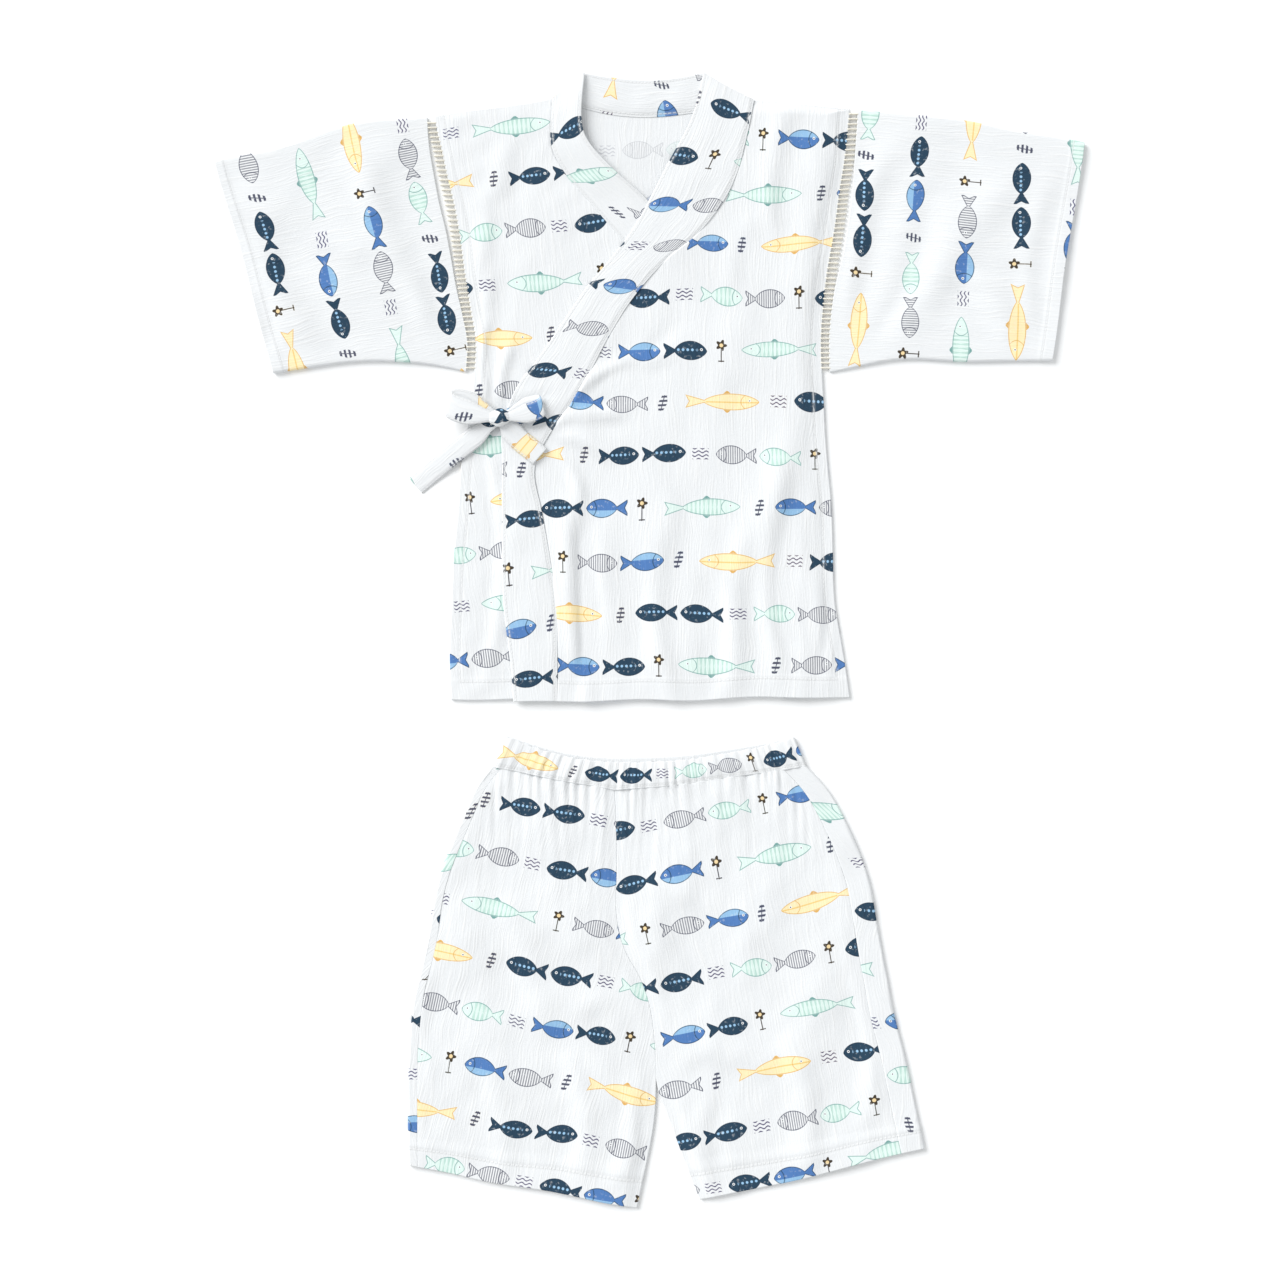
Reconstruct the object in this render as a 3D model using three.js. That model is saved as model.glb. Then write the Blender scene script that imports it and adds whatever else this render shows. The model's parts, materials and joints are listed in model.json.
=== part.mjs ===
// A child's jinbei set laid flat on a surface: a wrap-front jacket tied at the side, and
// below it a pair of shorts with an elastic waist. Millimetres, +Z up; +Y runs from the
// shorts to the neck, and the origin is under the middle of the whole layout.
//
// Every piece of cloth is a wall round a middle surface. The surface of a panel is worked
// out from a table with one row for each section across it, and its height above the
// floor from the layer it lies in, the roll at its edges and its largest folds.
import * as THREE from 'three';

// ---- Cloth -------------------------------------------------------------------------
const CLOTH = 1.2;          // wall of one layer of soft double gauze with its air
const BAND = 1.6;           // wall of the collar band, which is folded double
const TAPE = 1.0;           // wall of the tie tapes
const TAPE_WIDTH = 16;
const THREAD = 0.8;         // wall of the open lacing at the armholes
const SEAM = 0.6;           // sideways clearance between pieces sewn edge to edge
const LACING = 6;           // width of the open lacing between body and sleeve
const SLEEVE_PLAY = 0.9;    // clearance of the lacing to the sleeve

// Height of the middle of each layer above the floor.
const BACK_LEVEL = CLOTH / 2;
const EDGE_LEVEL = 2.15;    // a top layer's edge, just clear of the back layer
const UNDER_LEVEL = 2.4;
const UNDER_BAND_LEVEL = 2.6;
const OVER_LEVEL = 4.6;
const OVER_BAND_LEVEL = 4.9;
const NECK_BAND_LEVEL = 2.35;
const SLEEVE_LEVEL = 3.6;
const SHORTS_LEVEL = 3.2;
const BOW_LEVEL = 8;         // underside of the knot and the loops, above the jacket

// Colours of the finished cloth.
const GAUZE = 0xf4f6f8;
const BACK_GAUZE = 0xe9edf2;
const LACE_THREAD = 0xe6e2d6;

// ---- Tables ------------------------------------------------------------------------
const table = (columns, ...rows) =>
  rows.map((row) => Object.fromEntries(columns.map((name, i) => [name, row[i]])));

// One side of the jacket's front from hem to shoulder: the band's free edge, the seam of
// band and panel, and the panel's outer edge: side seam up to the armpit, then armhole.
const FRONT_COLUMNS = ['freeX', 'freeY', 'seamX', 'seamY', 'sideX', 'sideY'];
const ARMPIT_ROW = 7;

const OVER = table(
  FRONT_COLUMNS,
  [-109, -50, -74, -49, 159, -46],
  [-112, -16, -75, -10, 154, -8],
  [-116, 24, -76, 30, 149, 34],
  [-118, 64, -81, 66, 147, 74],
  [-118, 104, -87, 104, 145, 112],
  [-117, 140, -92, 136, 142, 148],
  [-118, 172, -82, 162, 139, 184],
  [-108, 202, -60, 192, 137, 214],
  [-92, 222, -46, 216, 137, 238],
  [-74, 246, -33, 241, 139, 264],
  [-52, 280, -14, 272, 142, 296],
  [-34, 302, 11, 302, 147, 328],
  [-16, 326, 36, 322, 151, 354],
  [-2, 350, 58, 348, 155, 378],
  [13, 376, 70, 372, 157, 396],
  [31, 412, 77, 402, 158, 411],
  [44, 454.5, 82, 431, 159, 422],
);

const UNDER = table(
  FRONT_COLUMNS,
  [118, -46, 80, -46, -158, -48],
  [118, -8, 80, -8, -160, -10],
  [119, 34, 80, 34, -158, 30],
  [119, 74, 84, 72, -156, 70],
  [119, 112, 89, 110, -153, 108],
  [119, 146, 94, 138, -150, 146],
  [119, 176, 84, 164, -143, 184],
  [110, 204, 62, 196, -141, 214],
  [96, 222, 48, 218, -140, 238],
  [76, 246, 35, 243, -144, 264],
  [54, 280, 16, 274, -149, 296],
  [36, 302, -9, 304, -153, 328],
  [18, 324, -32, 330, -157, 352],
  [-4, 352, -50, 352, -162, 374],
  [-32, 378, -66, 371, -166, 393],
  [-54, 408, -79, 396, -170, 408],
  [-52, 452, -80, 433, -172, 418],
);

// The collar band behind the neck, from the left shoulder to the right.
const NECK_BAND = table(
  ['freeX', 'freeY', 'seamX', 'seamY'],
  [-51, 451.5, -79, 432],
  [-34, 449, -44, 422],
  [-8, 448, -8, 419],
  [20, 450, 34, 422],
  [43, 453.5, 81, 430],
);

// The top edge of the back panel, from the left armhole along shoulder and neck.
const BACK_TOP = table(['x', 'y'], [-172, 418], [-79, 431], [-34, 419], [20, 419], [81, 429], [159, 422]);

// Sleeves beyond the armhole, out to the cuff: the top fold and the bottom seam.
const SLEEVE_COLUMNS = ['topX', 'topY', 'bottomX', 'bottomY'];
const SLEEVE_LEFT = table(SLEEVE_COLUMNS, [-243, 410, -192, 223], [-304, 392, -247, 221], [-347.5, 382, -301, 213]);
const SLEEVE_RIGHT = table(SLEEVE_COLUMNS, [230, 418, 200, 224], [290, 408, 262, 222], [347.5, 396, 320, 224]);

// One leg of the shorts from the waistband's seam to the hem: the outer fold at the side,
// and the inner edge, which is the centre seam down to the crotch and then the inseam.
const LEG_COLUMNS = ['outerX', 'outerY', 'innerX', 'innerY'];
const LEG_LEFT = table(
  LEG_COLUMNS,
  [-126, -101, -29, -121],
  [-144, -125, -28, -142],
  [-161, -172, -26, -184],
  [-171, -208, -26, -222],
  [-176, -235, -20, -248],
  [-181, -256, -7, -272],
  [-187, -280, 1, -296],
  [-191, -312, 5, -325],
  [-193, -345, 6, -356],
  [-193, -380, 3, -392],
  [-193, -420, -11, -454.5],
);
const LEG_RIGHT = table(
  LEG_COLUMNS,
  [126, -101, -29, -121],
  [145, -124, -28, -142],
  [163, -160, -26, -184],
  [174, -194, -26, -222],
  [179, -222, -20, -248],
  [184, -246, -7, -272],
  [190, -272, 1, -296],
  [195, -298, 5, -325],
  [202, -330, 7, -356],
  [209, -366, 19, -390],
  [219, -408, 40, -448],
);
const LEG_SEAM = 0.5;       // half the clearance at the centre seam
const SIDE_WRAP = 9;        // how far the back cloth comes round to the front on the left
const SIDE_WRAP_RIGHT = 18;

// The waistband's top edge, from end to end.
const WAIST = table(['x', 'y'], [-114, -77], [-84, -86], [-34, -95], [20, -91], [75, -85], [116, -77]);
const WAIST_GATHERS = 10;
const GATHER_HEIGHT = 0.8;
const GATHER_FADE = 0.22;   // share of the leg over which the gathers die out

// The bow: the knot, each loop from the knot to its end, and the middle lines of the two
// hanging ends.
const KNOT = { x: -120, y: 178, length: 17, width: 14, height: 7 };
const LOOP_COLUMNS = ['x0', 'y0', 'x1', 'y1', 'width'];
const LOOP_LEFT = table(LOOP_COLUMNS, [-129, 180, -160, 188, 24])[0];
const LOOP_RIGHT = table(LOOP_COLUMNS, [-111, 179, -84, 187, 18])[0];
const LOOP_HEIGHT = 4;
const LOOP_NECK = 0.45;     // width of a loop at the knot, as a share of its full width
const TAIL_COLUMNS = ['x', 'y', 'z'];
const TAIL_LEFT = table(
  TAIL_COLUMNS,
  [-129, 171.5, 6.6],
  [-139, 163, 5.4],
  [-149, 155, 4.3],
  [-160, 146, 3.7],
  [-169, 138, 1.6],
  [-178, 130, 0.6],
  [-187, 122, 0.6],
);
const TAIL_RIGHT = table(TAIL_COLUMNS, [-112, 171, 6.7], [-104, 162, 6.7], [-96, 154, 6.7], [-88, 146, 6.7]);

// ---- Folds -------------------------------------------------------------------------
// Soft ridges, each along a line from one point to another.
const FOLD_COLUMNS = ['x0', 'y0', 'x1', 'y1', 'width', 'height'];
const OVER_FOLDS = table(
  FOLD_COLUMNS,
  [-50, -60, -60, 120, 15, 2.4],
  [18, -60, 24, 150, 20, 1.8],
  [96, -60, 112, 180, 17, 2.2],
  [-60, 176, 60, 236, 14, 1.6],
  [104, 300, 110, 440, 14, 1.2],
);
const UNDER_FOLDS = table(FOLD_COLUMNS, [-137, 168, -142, -20, 7, 1.2], [-128, 235, -104, 420, 12, 1.4]);
const SLEEVE_LEFT_FOLDS = table(FOLD_COLUMNS, [-165, 250, -236, 392, 16, 1.6], [-262, 232, -318, 330, 16, 1.4]);
const SLEEVE_RIGHT_FOLDS = table(FOLD_COLUMNS, [158, 262, 196, 404, 15, 1.6], [252, 280, 290, 238, 14, 1.4]);
const SHORTS_FOLDS = table(
  FOLD_COLUMNS,
  [30, -170, 120, -280, 18, 1.8],
  [-120, -210, -80, -330, 18, 1.6],
  [-70, -330, -50, -440, 15, 1.4],
  [110, -330, 120, -440, 15, 1.4],
);

// ---- Helpers -----------------------------------------------------------------------
const lerp = (a, b, t) => a + (b - a) * t;
const clamp01 = (t) => Math.min(1, Math.max(0, t));
const smooth = (t) => clamp01(t) ** 2 * (3 - 2 * clamp01(t));
const numbers = (count) => Array.from({ length: count }, (_, i) => i);

// A column of a table as a smooth function of t from 0 at the first row to 1 at the last.
function column(rows, name, t) {
  const at = clamp01(t) * (rows.length - 1);
  const i = Math.min(Math.floor(at), rows.length - 2);
  const value = (k) => rows[Math.min(Math.max(k, 0), rows.length - 1)][name];
  const [p0, p1, p2, p3] = [value(i - 1), value(i), value(i + 1), value(i + 2)];
  const f = at - i;
  const cubic = (3 * p1 - p0 - 3 * p2 + p3) * f ** 3;
  return 0.5 * (2 * p1 + (p2 - p0) * f + (2 * p0 - 5 * p1 + 4 * p2 - p3) * f ** 2 + cubic);
}
const edge = (rows, name) => (t) => [column(rows, name + 'X', t), column(rows, name + 'Y', t)];
const shifted = (curve, offset) => (t) => [curve(t)[0] + offset, curve(t)[1]];

// The y of a table's line at x, straight from row to row.
function heightAt(rows, x) {
  const i = Math.min(Math.max(rows.findIndex((row) => row.x > x), 1), rows.length - 1);
  return lerp(rows[i - 1].y, rows[i].y, clamp01((x - rows[i - 1].x) / (rows[i].x - rows[i - 1].x)));
}

// The height that a list of soft ridges adds at (x, y): a bell across each line, which
// runs out smoothly at both of its ends.
function ridges(folds, x, y) {
  return folds.reduce((sum, fold) => {
    const [dx, dy] = [fold.x1 - fold.x0, fold.y1 - fold.y0];
    const length = Math.hypot(dx, dy);
    const along = ((x - fold.x0) * dx + (y - fold.y0) * dy) / length ** 2;
    const across = ((x - fold.x0) * dy - (y - fold.y0) * dx) / length;
    const ends = smooth(along * 4) * smooth((1 - along) * 4);
    return sum + fold.height * ends * Math.exp(-((across / fold.width) ** 2));
  }, 0);
}

// A wall of the given thickness round a grid of middle points. u runs across and v along;
// a closed wall joins its last column to its first.
function wall(surface, across, along, thickness, closed = false) {
  const step = 1e-3;
  const at = (u, v) => new THREE.Vector3(...surface(u, v));
  const normalAt = (u, v) => {
    const [u0, u1] = closed ? [u - step, u + step] : [Math.max(u - step, 0), Math.min(u + step, 1)];
    const [v0, v1] = [Math.max(v - step, 0), Math.min(v + step, 1)];
    return at(u1, v).sub(at(u0, v)).cross(at(u, v1).sub(at(u, v0))).normalize();
  };
  const columns = closed ? across : across + 1;
  const positions = [];
  for (const side of [1, -1])
    for (const j of numbers(along + 1))
      for (const i of numbers(columns)) {
        const [u, v] = [i / across, j / along];
        positions.push(...at(u, v).addScaledVector(normalAt(u, v), (side * thickness) / 2));
      }
  const id = (side, i, j) => (side * (along + 1) + j) * columns + (i % columns);
  const faces = [];
  const quad = (a, b, c, d) => faces.push(a, b, c, a, c, d);
  for (const j of numbers(along))
    for (const i of numbers(across)) {
      quad(id(0, i, j), id(0, i + 1, j), id(0, i + 1, j + 1), id(0, i, j + 1));
      quad(id(1, i, j), id(1, i, j + 1), id(1, i + 1, j + 1), id(1, i + 1, j));
    }
  for (const i of numbers(across)) {
    quad(id(0, i + 1, 0), id(0, i, 0), id(1, i, 0), id(1, i + 1, 0));
    quad(id(0, i, along), id(0, i + 1, along), id(1, i + 1, along), id(1, i, along));
  }
  if (!closed)
    for (const j of numbers(along)) {
      quad(id(0, 0, j), id(0, 0, j + 1), id(1, 0, j + 1), id(1, 0, j));
      quad(id(0, across, j + 1), id(0, across, j), id(1, across, j), id(1, across, j + 1));
    }
  return new THREE.BufferGeometry()
    .setAttribute('position', new THREE.Float32BufferAttribute(positions, 3))
    .setIndex(faces);
}

// The surface between two edge curves; lift gives the height of its middle at (x, y) from
// the distances to the first edge, the second edge and the far end.
function between(first, second, lift) {
  return (u, v) => {
    const [a, b] = [first(v), second(v)];
    const [x, y] = [lerp(a[0], b[0], u), lerp(a[1], b[1], u)];
    const width = Math.hypot(b[0] - a[0], b[1] - a[1]);
    const length = Math.abs(first(1)[1] - first(0)[1]);
    return [x, y, lift(x, y, { first: u * width, second: (1 - u) * width, end: (1 - v) * length })];
  };
}

// A flattened ring's section as [place across, height]: along the bottom, round the far
// end, back along the top and round the near end. Each end takes a tenth of the ring.
function flatRing(u, width, height) {
  const radius = height / 2;
  const share = ((u % 1) + 1) % 1;
  const turn = (from) => ((share - from) / 0.1) * Math.PI;
  if (share < 0.4) return [lerp(radius, width - radius, share / 0.4), 0];
  if (share < 0.5) return [width - radius + radius * Math.sin(turn(0.4)), radius - radius * Math.cos(turn(0.4))];
  if (share < 0.9) return [lerp(width - radius, radius, (share - 0.5) / 0.4), height];
  return [radius - radius * Math.sin(turn(0.9)), radius + radius * Math.cos(turn(0.9))];
}

// Falls from a layer's own level to just above the back layer near an edge.
const roll = (level, distance, reach) => lerp(EDGE_LEVEL, level, smooth(distance / reach));

const group = new THREE.Group();
function add(name, geometry, colour = GAUZE) {
  geometry.computeVertexNormals();
  const mesh = new THREE.Mesh(
    geometry,
    new THREE.MeshStandardMaterial({ color: colour, roughness: 0.9, metalness: 0 }),
  );
  mesh.name = name;
  group.add(mesh);
}

// ---- Jacket ------------------------------------------------------------------------
const JACKET_ROWS = 22;
const BACK_ROWS = OVER.length - 1;
const overSide = edge(OVER, 'side');
const underSide = edge(UNDER, 'side');

// Back: one flat layer on the floor, whose top edge follows the shoulders and the neck.
const NECK_SHARE = 0.8;
add(
  'jacket_back',
  wall(
    (u, v) => {
      const [a, b] = [underSide(v), overSide(v)];
      const [x, y] = [lerp(a[0], b[0], u), lerp(a[1], b[1], u)];
      const top = heightAt(BACK_TOP, lerp(underSide(1)[0], overSide(1)[0], u));
      const rise = top - lerp(underSide(1)[1], overSide(1)[1], u);
      return [x, y + rise * smooth((v - NECK_SHARE) / (1 - NECK_SHARE)), BACK_LEVEL];
    },
    10,
    BACK_ROWS,
    CLOTH,
  ),
  BACK_GAUZE,
);

// Under front, mostly hidden. Its columns crowd towards the side that shows.
const CROWDING = 1.6;
const underLift = (x, y, far) =>
  Math.min(roll(UNDER_LEVEL, far.first, 12), roll(UNDER_LEVEL, far.end, 12)) + ridges(UNDER_FOLDS, x, y);
const underPanel = between(underSide, shifted(edge(UNDER, 'seam'), -SEAM), underLift);
add('jacket_front_under', wall((u, v) => underPanel(u ** CROWDING, v), 9, JACKET_ROWS, CLOTH));

// Over front, which wraps across and lies on top.
const overLift = (x, y, far) =>
  Math.min(roll(OVER_LEVEL, far.second, 17), roll(OVER_LEVEL, far.end, 14)) + ridges(OVER_FOLDS, x, y);
const overPanel = between(shifted(edge(OVER, 'seam'), SEAM), overSide, overLift);
add('jacket_front_over', wall(overPanel, 14, JACKET_ROWS, CLOTH));

// Collar band: down the over front to the hem, behind the neck, and down the under front
// to the hem. The two front stretches meet the neck stretch over the shoulders.
const SHOULDER_RISE = 2.1;
const SHOULDER_SHARE = 0.84;
const toShoulder = (v) => smooth((v - SHOULDER_SHARE) / (1 - SHOULDER_SHARE));
const EDGE_SAG = 0.4;       // the over band's free edge lies down on the under front
const band = (rows, lift) => {
  const [free, seam] = [edge(rows, 'free'), edge(rows, 'seam')];
  return (u, v) => [lerp(free(v)[0], seam(v)[0], u), lerp(free(v)[1], seam(v)[1], u), lift(u, v)];
};
const overBand = band(OVER, (u) => OVER_BAND_LEVEL - EDGE_SAG * (1 - smooth(u * 3)));
add('collar_over', wall(overBand, 3, JACKET_ROWS, BAND));
const underBand = band(UNDER, (u, v) => UNDER_BAND_LEVEL + SHOULDER_RISE * toShoulder(v));
add('collar_under', wall(underBand, 2, JACKET_ROWS, BAND));
add('collar_neck', wall(band(NECK_BAND, () => NECK_BAND_LEVEL), 2, 8, BAND));

// The armhole edge of the body, from the armpit at 0 to the shoulder at 1.
const armhole = (side) => (t) => side(lerp(ARMPIT_ROW / BACK_ROWS, 1, t));

// Sleeve: a flattened tube, open at the armhole and the cuff. Its armhole end follows the
// body's edge across the lacing, and its top layer is crowned.
function sleeve(rows, side, outward, folds) {
  const hole = armhole(side);
  const [low, high] = [hole(0), hole(1)];
  const first = {
    topX: high[0] + outward * LACING,
    topY: high[1],
    bottomX: low[0] + outward * LACING,
    bottomY: low[1],
  };
  const [top, bottom] = [edge([first, ...rows], 'top'), edge([first, ...rows], 'bottom')];
  return (u, v) => {
    const [a, b] = [bottom(v), top(v)];
    const width = Math.hypot(b[0] - a[0], b[1] - a[1]);
    const height = lerp(EDGE_LEVEL, SLEEVE_LEVEL, smooth(v * 3)) - BACK_LEVEL;
    const [across, lift] = flatRing(u, width, height);
    const t = across / width;
    const curve = hole(t)[0] - lerp(low[0], high[0], t);
    const [x, y] = [lerp(a[0], b[0], t) + curve * (1 - v) ** 2, lerp(a[1], b[1], t)];
    const crown = ridges(folds, x, y) * smooth(t * 6) * smooth((1 - t) * 6);
    return [x, y, BACK_LEVEL + lift + (crown * lift) / height];
  };
}
const SLEEVE_RING = 30;
const SLEEVE_ROWS = 5;
add('sleeve_left', wall(sleeve(SLEEVE_LEFT, underSide, -1, SLEEVE_LEFT_FOLDS), SLEEVE_RING, SLEEVE_ROWS, CLOTH, true));
add('sleeve_right', wall(sleeve(SLEEVE_RIGHT, overSide, 1, SLEEVE_RIGHT_FOLDS), SLEEVE_RING, SLEEVE_ROWS, CLOTH, true));

// Open lacing: a strip of lace thread between the body and the sleeve, front and back.
const LACING_ROWS = BACK_ROWS - ARMPIT_ROW;
const LACINGS = table(
  ['name', 'side', 'outward', 'level'],
  ['lacing_left_front', underSide, -1, EDGE_LEVEL],
  ['lacing_left_back', underSide, -1, BACK_LEVEL],
  ['lacing_right_front', overSide, 1, EDGE_LEVEL],
  ['lacing_right_back', overSide, 1, BACK_LEVEL],
);
for (const { name, side, outward, level } of LACINGS) {
  const hole = armhole(side);
  const strip = (u, v) => [hole(v)[0] + outward * lerp(SEAM, LACING - SLEEVE_PLAY, u), hole(v)[1], level];
  add(name, wall(strip, 1, LACING_ROWS, THREAD), LACE_THREAD);
}

// ---- Tie ---------------------------------------------------------------------------
const knot = new THREE.SphereGeometry(0.5, 14, 8).scale(KNOT.length, KNOT.width, KNOT.height);
add('bow_knot', knot.translate(KNOT.x, KNOT.y, BOW_LEVEL + KNOT.height / 2));

// A loop of tape: out from the knot along the bottom, round the end and back on top. Its
// section widens from the knot to the loop's full width.
function loop(shape) {
  const [dx, dy] = [shape.x1 - shape.x0, shape.y1 - shape.y0];
  const length = Math.hypot(dx, dy);
  const radius = LOOP_HEIGHT / 2;
  return (u, v) => {
    const turn = ((v - 0.4) / 0.2) * Math.PI;
    const [along, z] =
      v < 0.4 ? [lerp(0, length - radius, v / 0.4), 0]
      : v < 0.6 ? [length - radius + radius * Math.sin(turn), radius - radius * Math.cos(turn)]
      : [lerp(length - radius, 0, (v - 0.6) / 0.4), LOOP_HEIGHT];
    const side = (u - 0.5) * shape.width * lerp(LOOP_NECK, 1, smooth((along / length) * 1.6));
    const [x, y] = [shape.x0 + (dx * along - dy * side) / length, shape.y0 + (dy * along + dx * side) / length];
    return [x, y, BOW_LEVEL + z];
  };
}
add('bow_loop_left', wall(loop(LOOP_LEFT), 4, 12, TAPE));
add('bow_loop_right', wall(loop(LOOP_RIGHT), 4, 12, TAPE));

// A hanging end: tape along a middle line, cut square.
function tail(rows) {
  const line = (t) => new THREE.Vector3(...TAIL_COLUMNS.map((name) => column(rows, name, t)));
  return (u, v) => {
    const along = line(Math.min(v + 0.01, 1)).sub(line(Math.max(v - 0.01, 0))).setZ(0).normalize();
    const side = new THREE.Vector3(along.y, -along.x, 0).multiplyScalar((u - 0.5) * TAPE_WIDTH);
    return line(v).add(side);
  };
}
add('bow_tail_left', wall(tail(TAIL_LEFT), 2, 14, TAPE));
add('bow_tail_right', wall(tail(TAIL_RIGHT), 2, 8, TAPE));

// ---- Shorts ------------------------------------------------------------------------
// The gathers at the waist: a wave by place across the band, from end to end.
const waistSpan = [LEG_LEFT[0].outerX, LEG_RIGHT[0].outerX];
const gathers = (x) => {
  const share = (x - waistSpan[0]) / (waistSpan[1] - waistSpan[0]);
  return (GATHER_HEIGHT * (1 - Math.cos(share * WAIST_GATHERS * 2 * Math.PI))) / 2;
};

// One leg. The back cloth lies on the floor and comes round the outer fold onto the top;
// the front lies over it, from the inner edge to where the back cloth ends.
const LEG_ROWS = 14;
function leg(name, rows, outward, wrap) {
  const outer = edge(rows, 'outer');
  const inner = shifted(edge(rows, 'inner'), outward * LEG_SEAM);
  const radius = (SHORTS_LEVEL - BACK_LEVEL) / 2;
  const fromFold = (v, distance) => {
    const [a, b] = [outer(v), inner(v)];
    const width = Math.hypot(b[0] - a[0], b[1] - a[1]);
    return [lerp(a[0], b[0], distance / width), lerp(a[1], b[1], distance / width), width];
  };
  const back = (u, v) => {
    const width = fromFold(v, 0)[2];
    const turn = ((u - 0.6) / 0.2) * Math.PI;
    const [distance, z] =
      u < 0.6 ? [lerp(width, radius, u / 0.6), BACK_LEVEL]
      : u < 0.8 ? [radius - radius * Math.sin(turn), BACK_LEVEL + radius - radius * Math.cos(turn)]
      : [lerp(radius, wrap, (u - 0.8) / 0.2), SHORTS_LEVEL];
    const [x, y] = fromFold(v, distance);
    return [x, y, z];
  };
  const front = (u, v) => {
    const width = fromFold(v, 0)[2];
    const distance = lerp(wrap + SEAM, width, u);
    const [x, y] = fromFold(v, distance);
    const settle = smooth((width - distance) / 12);
    const gathered = gathers(x) * smooth(1 - v / GATHER_FADE) * smooth((distance - wrap) / 12);
    const folds = ridges(SHORTS_FOLDS, x, y) * smooth((distance - wrap) / 20);
    return [x, y, lerp(EDGE_LEVEL, SHORTS_LEVEL, settle) + settle * (gathered + folds)];
  };
  add(`shorts_back_${name}`, wall(back, 10, LEG_ROWS, CLOTH), BACK_GAUZE);
  add(`shorts_front_${name}`, wall(front, 10, LEG_ROWS, CLOTH));
}
leg('left', LEG_LEFT, -1, SIDE_WRAP);
leg('right', LEG_RIGHT, 1, SIDE_WRAP_RIGHT);

// Waistband: a flattened ring of gathered casing. Its seam edge follows the legs' top.
const WAIST_RING = 50;
const WAIST_HEIGHT = SHORTS_LEVEL - BACK_LEVEL;
const waistWidth = waistSpan[1] - waistSpan[0];
const waistSeam = (t) => {
  const legTop = t < 0.5 ? LEG_LEFT[0] : LEG_RIGHT[0];
  const share = Math.abs(t - 0.5) * 2;
  return [lerp(legTop.innerX, legTop.outerX, share), lerp(legTop.innerY, legTop.outerY, share) + SEAM];
};
add(
  'waistband',
  wall(
    (u, v) => {
      const [across, lift] = flatRing(u, waistWidth, WAIST_HEIGHT);
      const t = across / waistWidth;
      const [low, high] = [waistSeam(t), [column(WAIST, 'x', t), column(WAIST, 'y', t)]];
      const [x, y] = [lerp(low[0], high[0], v), lerp(low[1], high[1], v)];
      return [x, y, BACK_LEVEL + lift + (gathers(low[0]) * lift) / WAIST_HEIGHT];
    },
    WAIST_RING,
    2,
    CLOTH,
    true,
  ),
);

export default group;
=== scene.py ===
"""A child's jinbei set laid flat: the looks of its cloth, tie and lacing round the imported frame.

Lengths in the tables and the surface functions are millimetres in the frame's own axes, and
become metres when a mesh is made. Every piece of cloth is a grid of middle points: u runs
across the piece and v along it, and a wall of the cloth's thickness is laid round them.
"""

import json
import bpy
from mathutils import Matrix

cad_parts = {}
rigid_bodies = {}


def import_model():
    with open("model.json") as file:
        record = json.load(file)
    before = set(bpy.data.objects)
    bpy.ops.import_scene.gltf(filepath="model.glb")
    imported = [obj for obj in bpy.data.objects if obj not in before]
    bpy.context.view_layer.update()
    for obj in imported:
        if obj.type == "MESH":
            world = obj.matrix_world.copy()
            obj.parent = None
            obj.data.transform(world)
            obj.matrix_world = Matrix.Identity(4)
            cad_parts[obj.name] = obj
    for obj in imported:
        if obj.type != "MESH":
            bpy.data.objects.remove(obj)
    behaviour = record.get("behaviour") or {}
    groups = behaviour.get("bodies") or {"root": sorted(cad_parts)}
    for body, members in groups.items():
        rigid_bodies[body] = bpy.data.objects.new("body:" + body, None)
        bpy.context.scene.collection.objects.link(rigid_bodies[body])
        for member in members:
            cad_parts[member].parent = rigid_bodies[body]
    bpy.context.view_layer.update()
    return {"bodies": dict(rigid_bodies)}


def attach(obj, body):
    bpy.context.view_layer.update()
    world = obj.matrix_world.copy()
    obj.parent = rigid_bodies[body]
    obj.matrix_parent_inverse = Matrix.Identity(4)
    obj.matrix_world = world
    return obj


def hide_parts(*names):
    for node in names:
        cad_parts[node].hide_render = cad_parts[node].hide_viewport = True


bl_info = {
    "name": "Jinbei set, laid flat",
    "version": (1, 0, 0),
    "blender": (4, 5, 0),
    "location": "3D View > Sidebar > Jinbei",
    "description": "Makes the cloth, tie and lacing of a child's jinbei set round its frame",
    "category": "Object",
}

import bpy
import numpy as np

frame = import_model()
BODY = next(iter(frame["bodies"]))
MM = 0.001    # one millimetre, in the scene's metres


# ---- Tables ----

def table(columns, *rows):
    """A table with named columns, each a numpy array down the rows."""
    return {name: np.array([row[i] for row in rows], float) for i, name in enumerate(columns)}


# One side of the jacket's front from hem to shoulder: the band's free edge, the seam of
# band and panel, and the panel's outer edge: side seam up to the armpit, then armhole.
FRONT_COLUMNS = ("freeX", "freeY", "seamX", "seamY", "sideX", "sideY")
ARMPIT_SHARE = 7 / 16

OVER = table(
    FRONT_COLUMNS,
    (-109, -50, -74, -49, 159, -46),
    (-112, -16, -75, -10, 154, -8),
    (-116, 24, -76, 30, 149, 34),
    (-118, 64, -81, 66, 147, 74),
    (-118, 104, -87, 104, 145, 112),
    (-117, 140, -92, 136, 142, 148),
    (-118, 172, -82, 162, 139, 184),
    (-108, 202, -60, 192, 137, 214),
    (-92, 222, -46, 216, 137, 238),
    (-74, 246, -33, 241, 139, 264),
    (-52, 280, -14, 272, 142, 296),
    (-34, 302, 11, 302, 147, 328),
    (-16, 326, 36, 322, 151, 354),
    (-2, 350, 58, 348, 155, 378),
    (13, 376, 70, 372, 157, 396),
    (31, 412, 77, 402, 158, 411),
    (42, 453, 82, 431, 159, 422),
)

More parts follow.
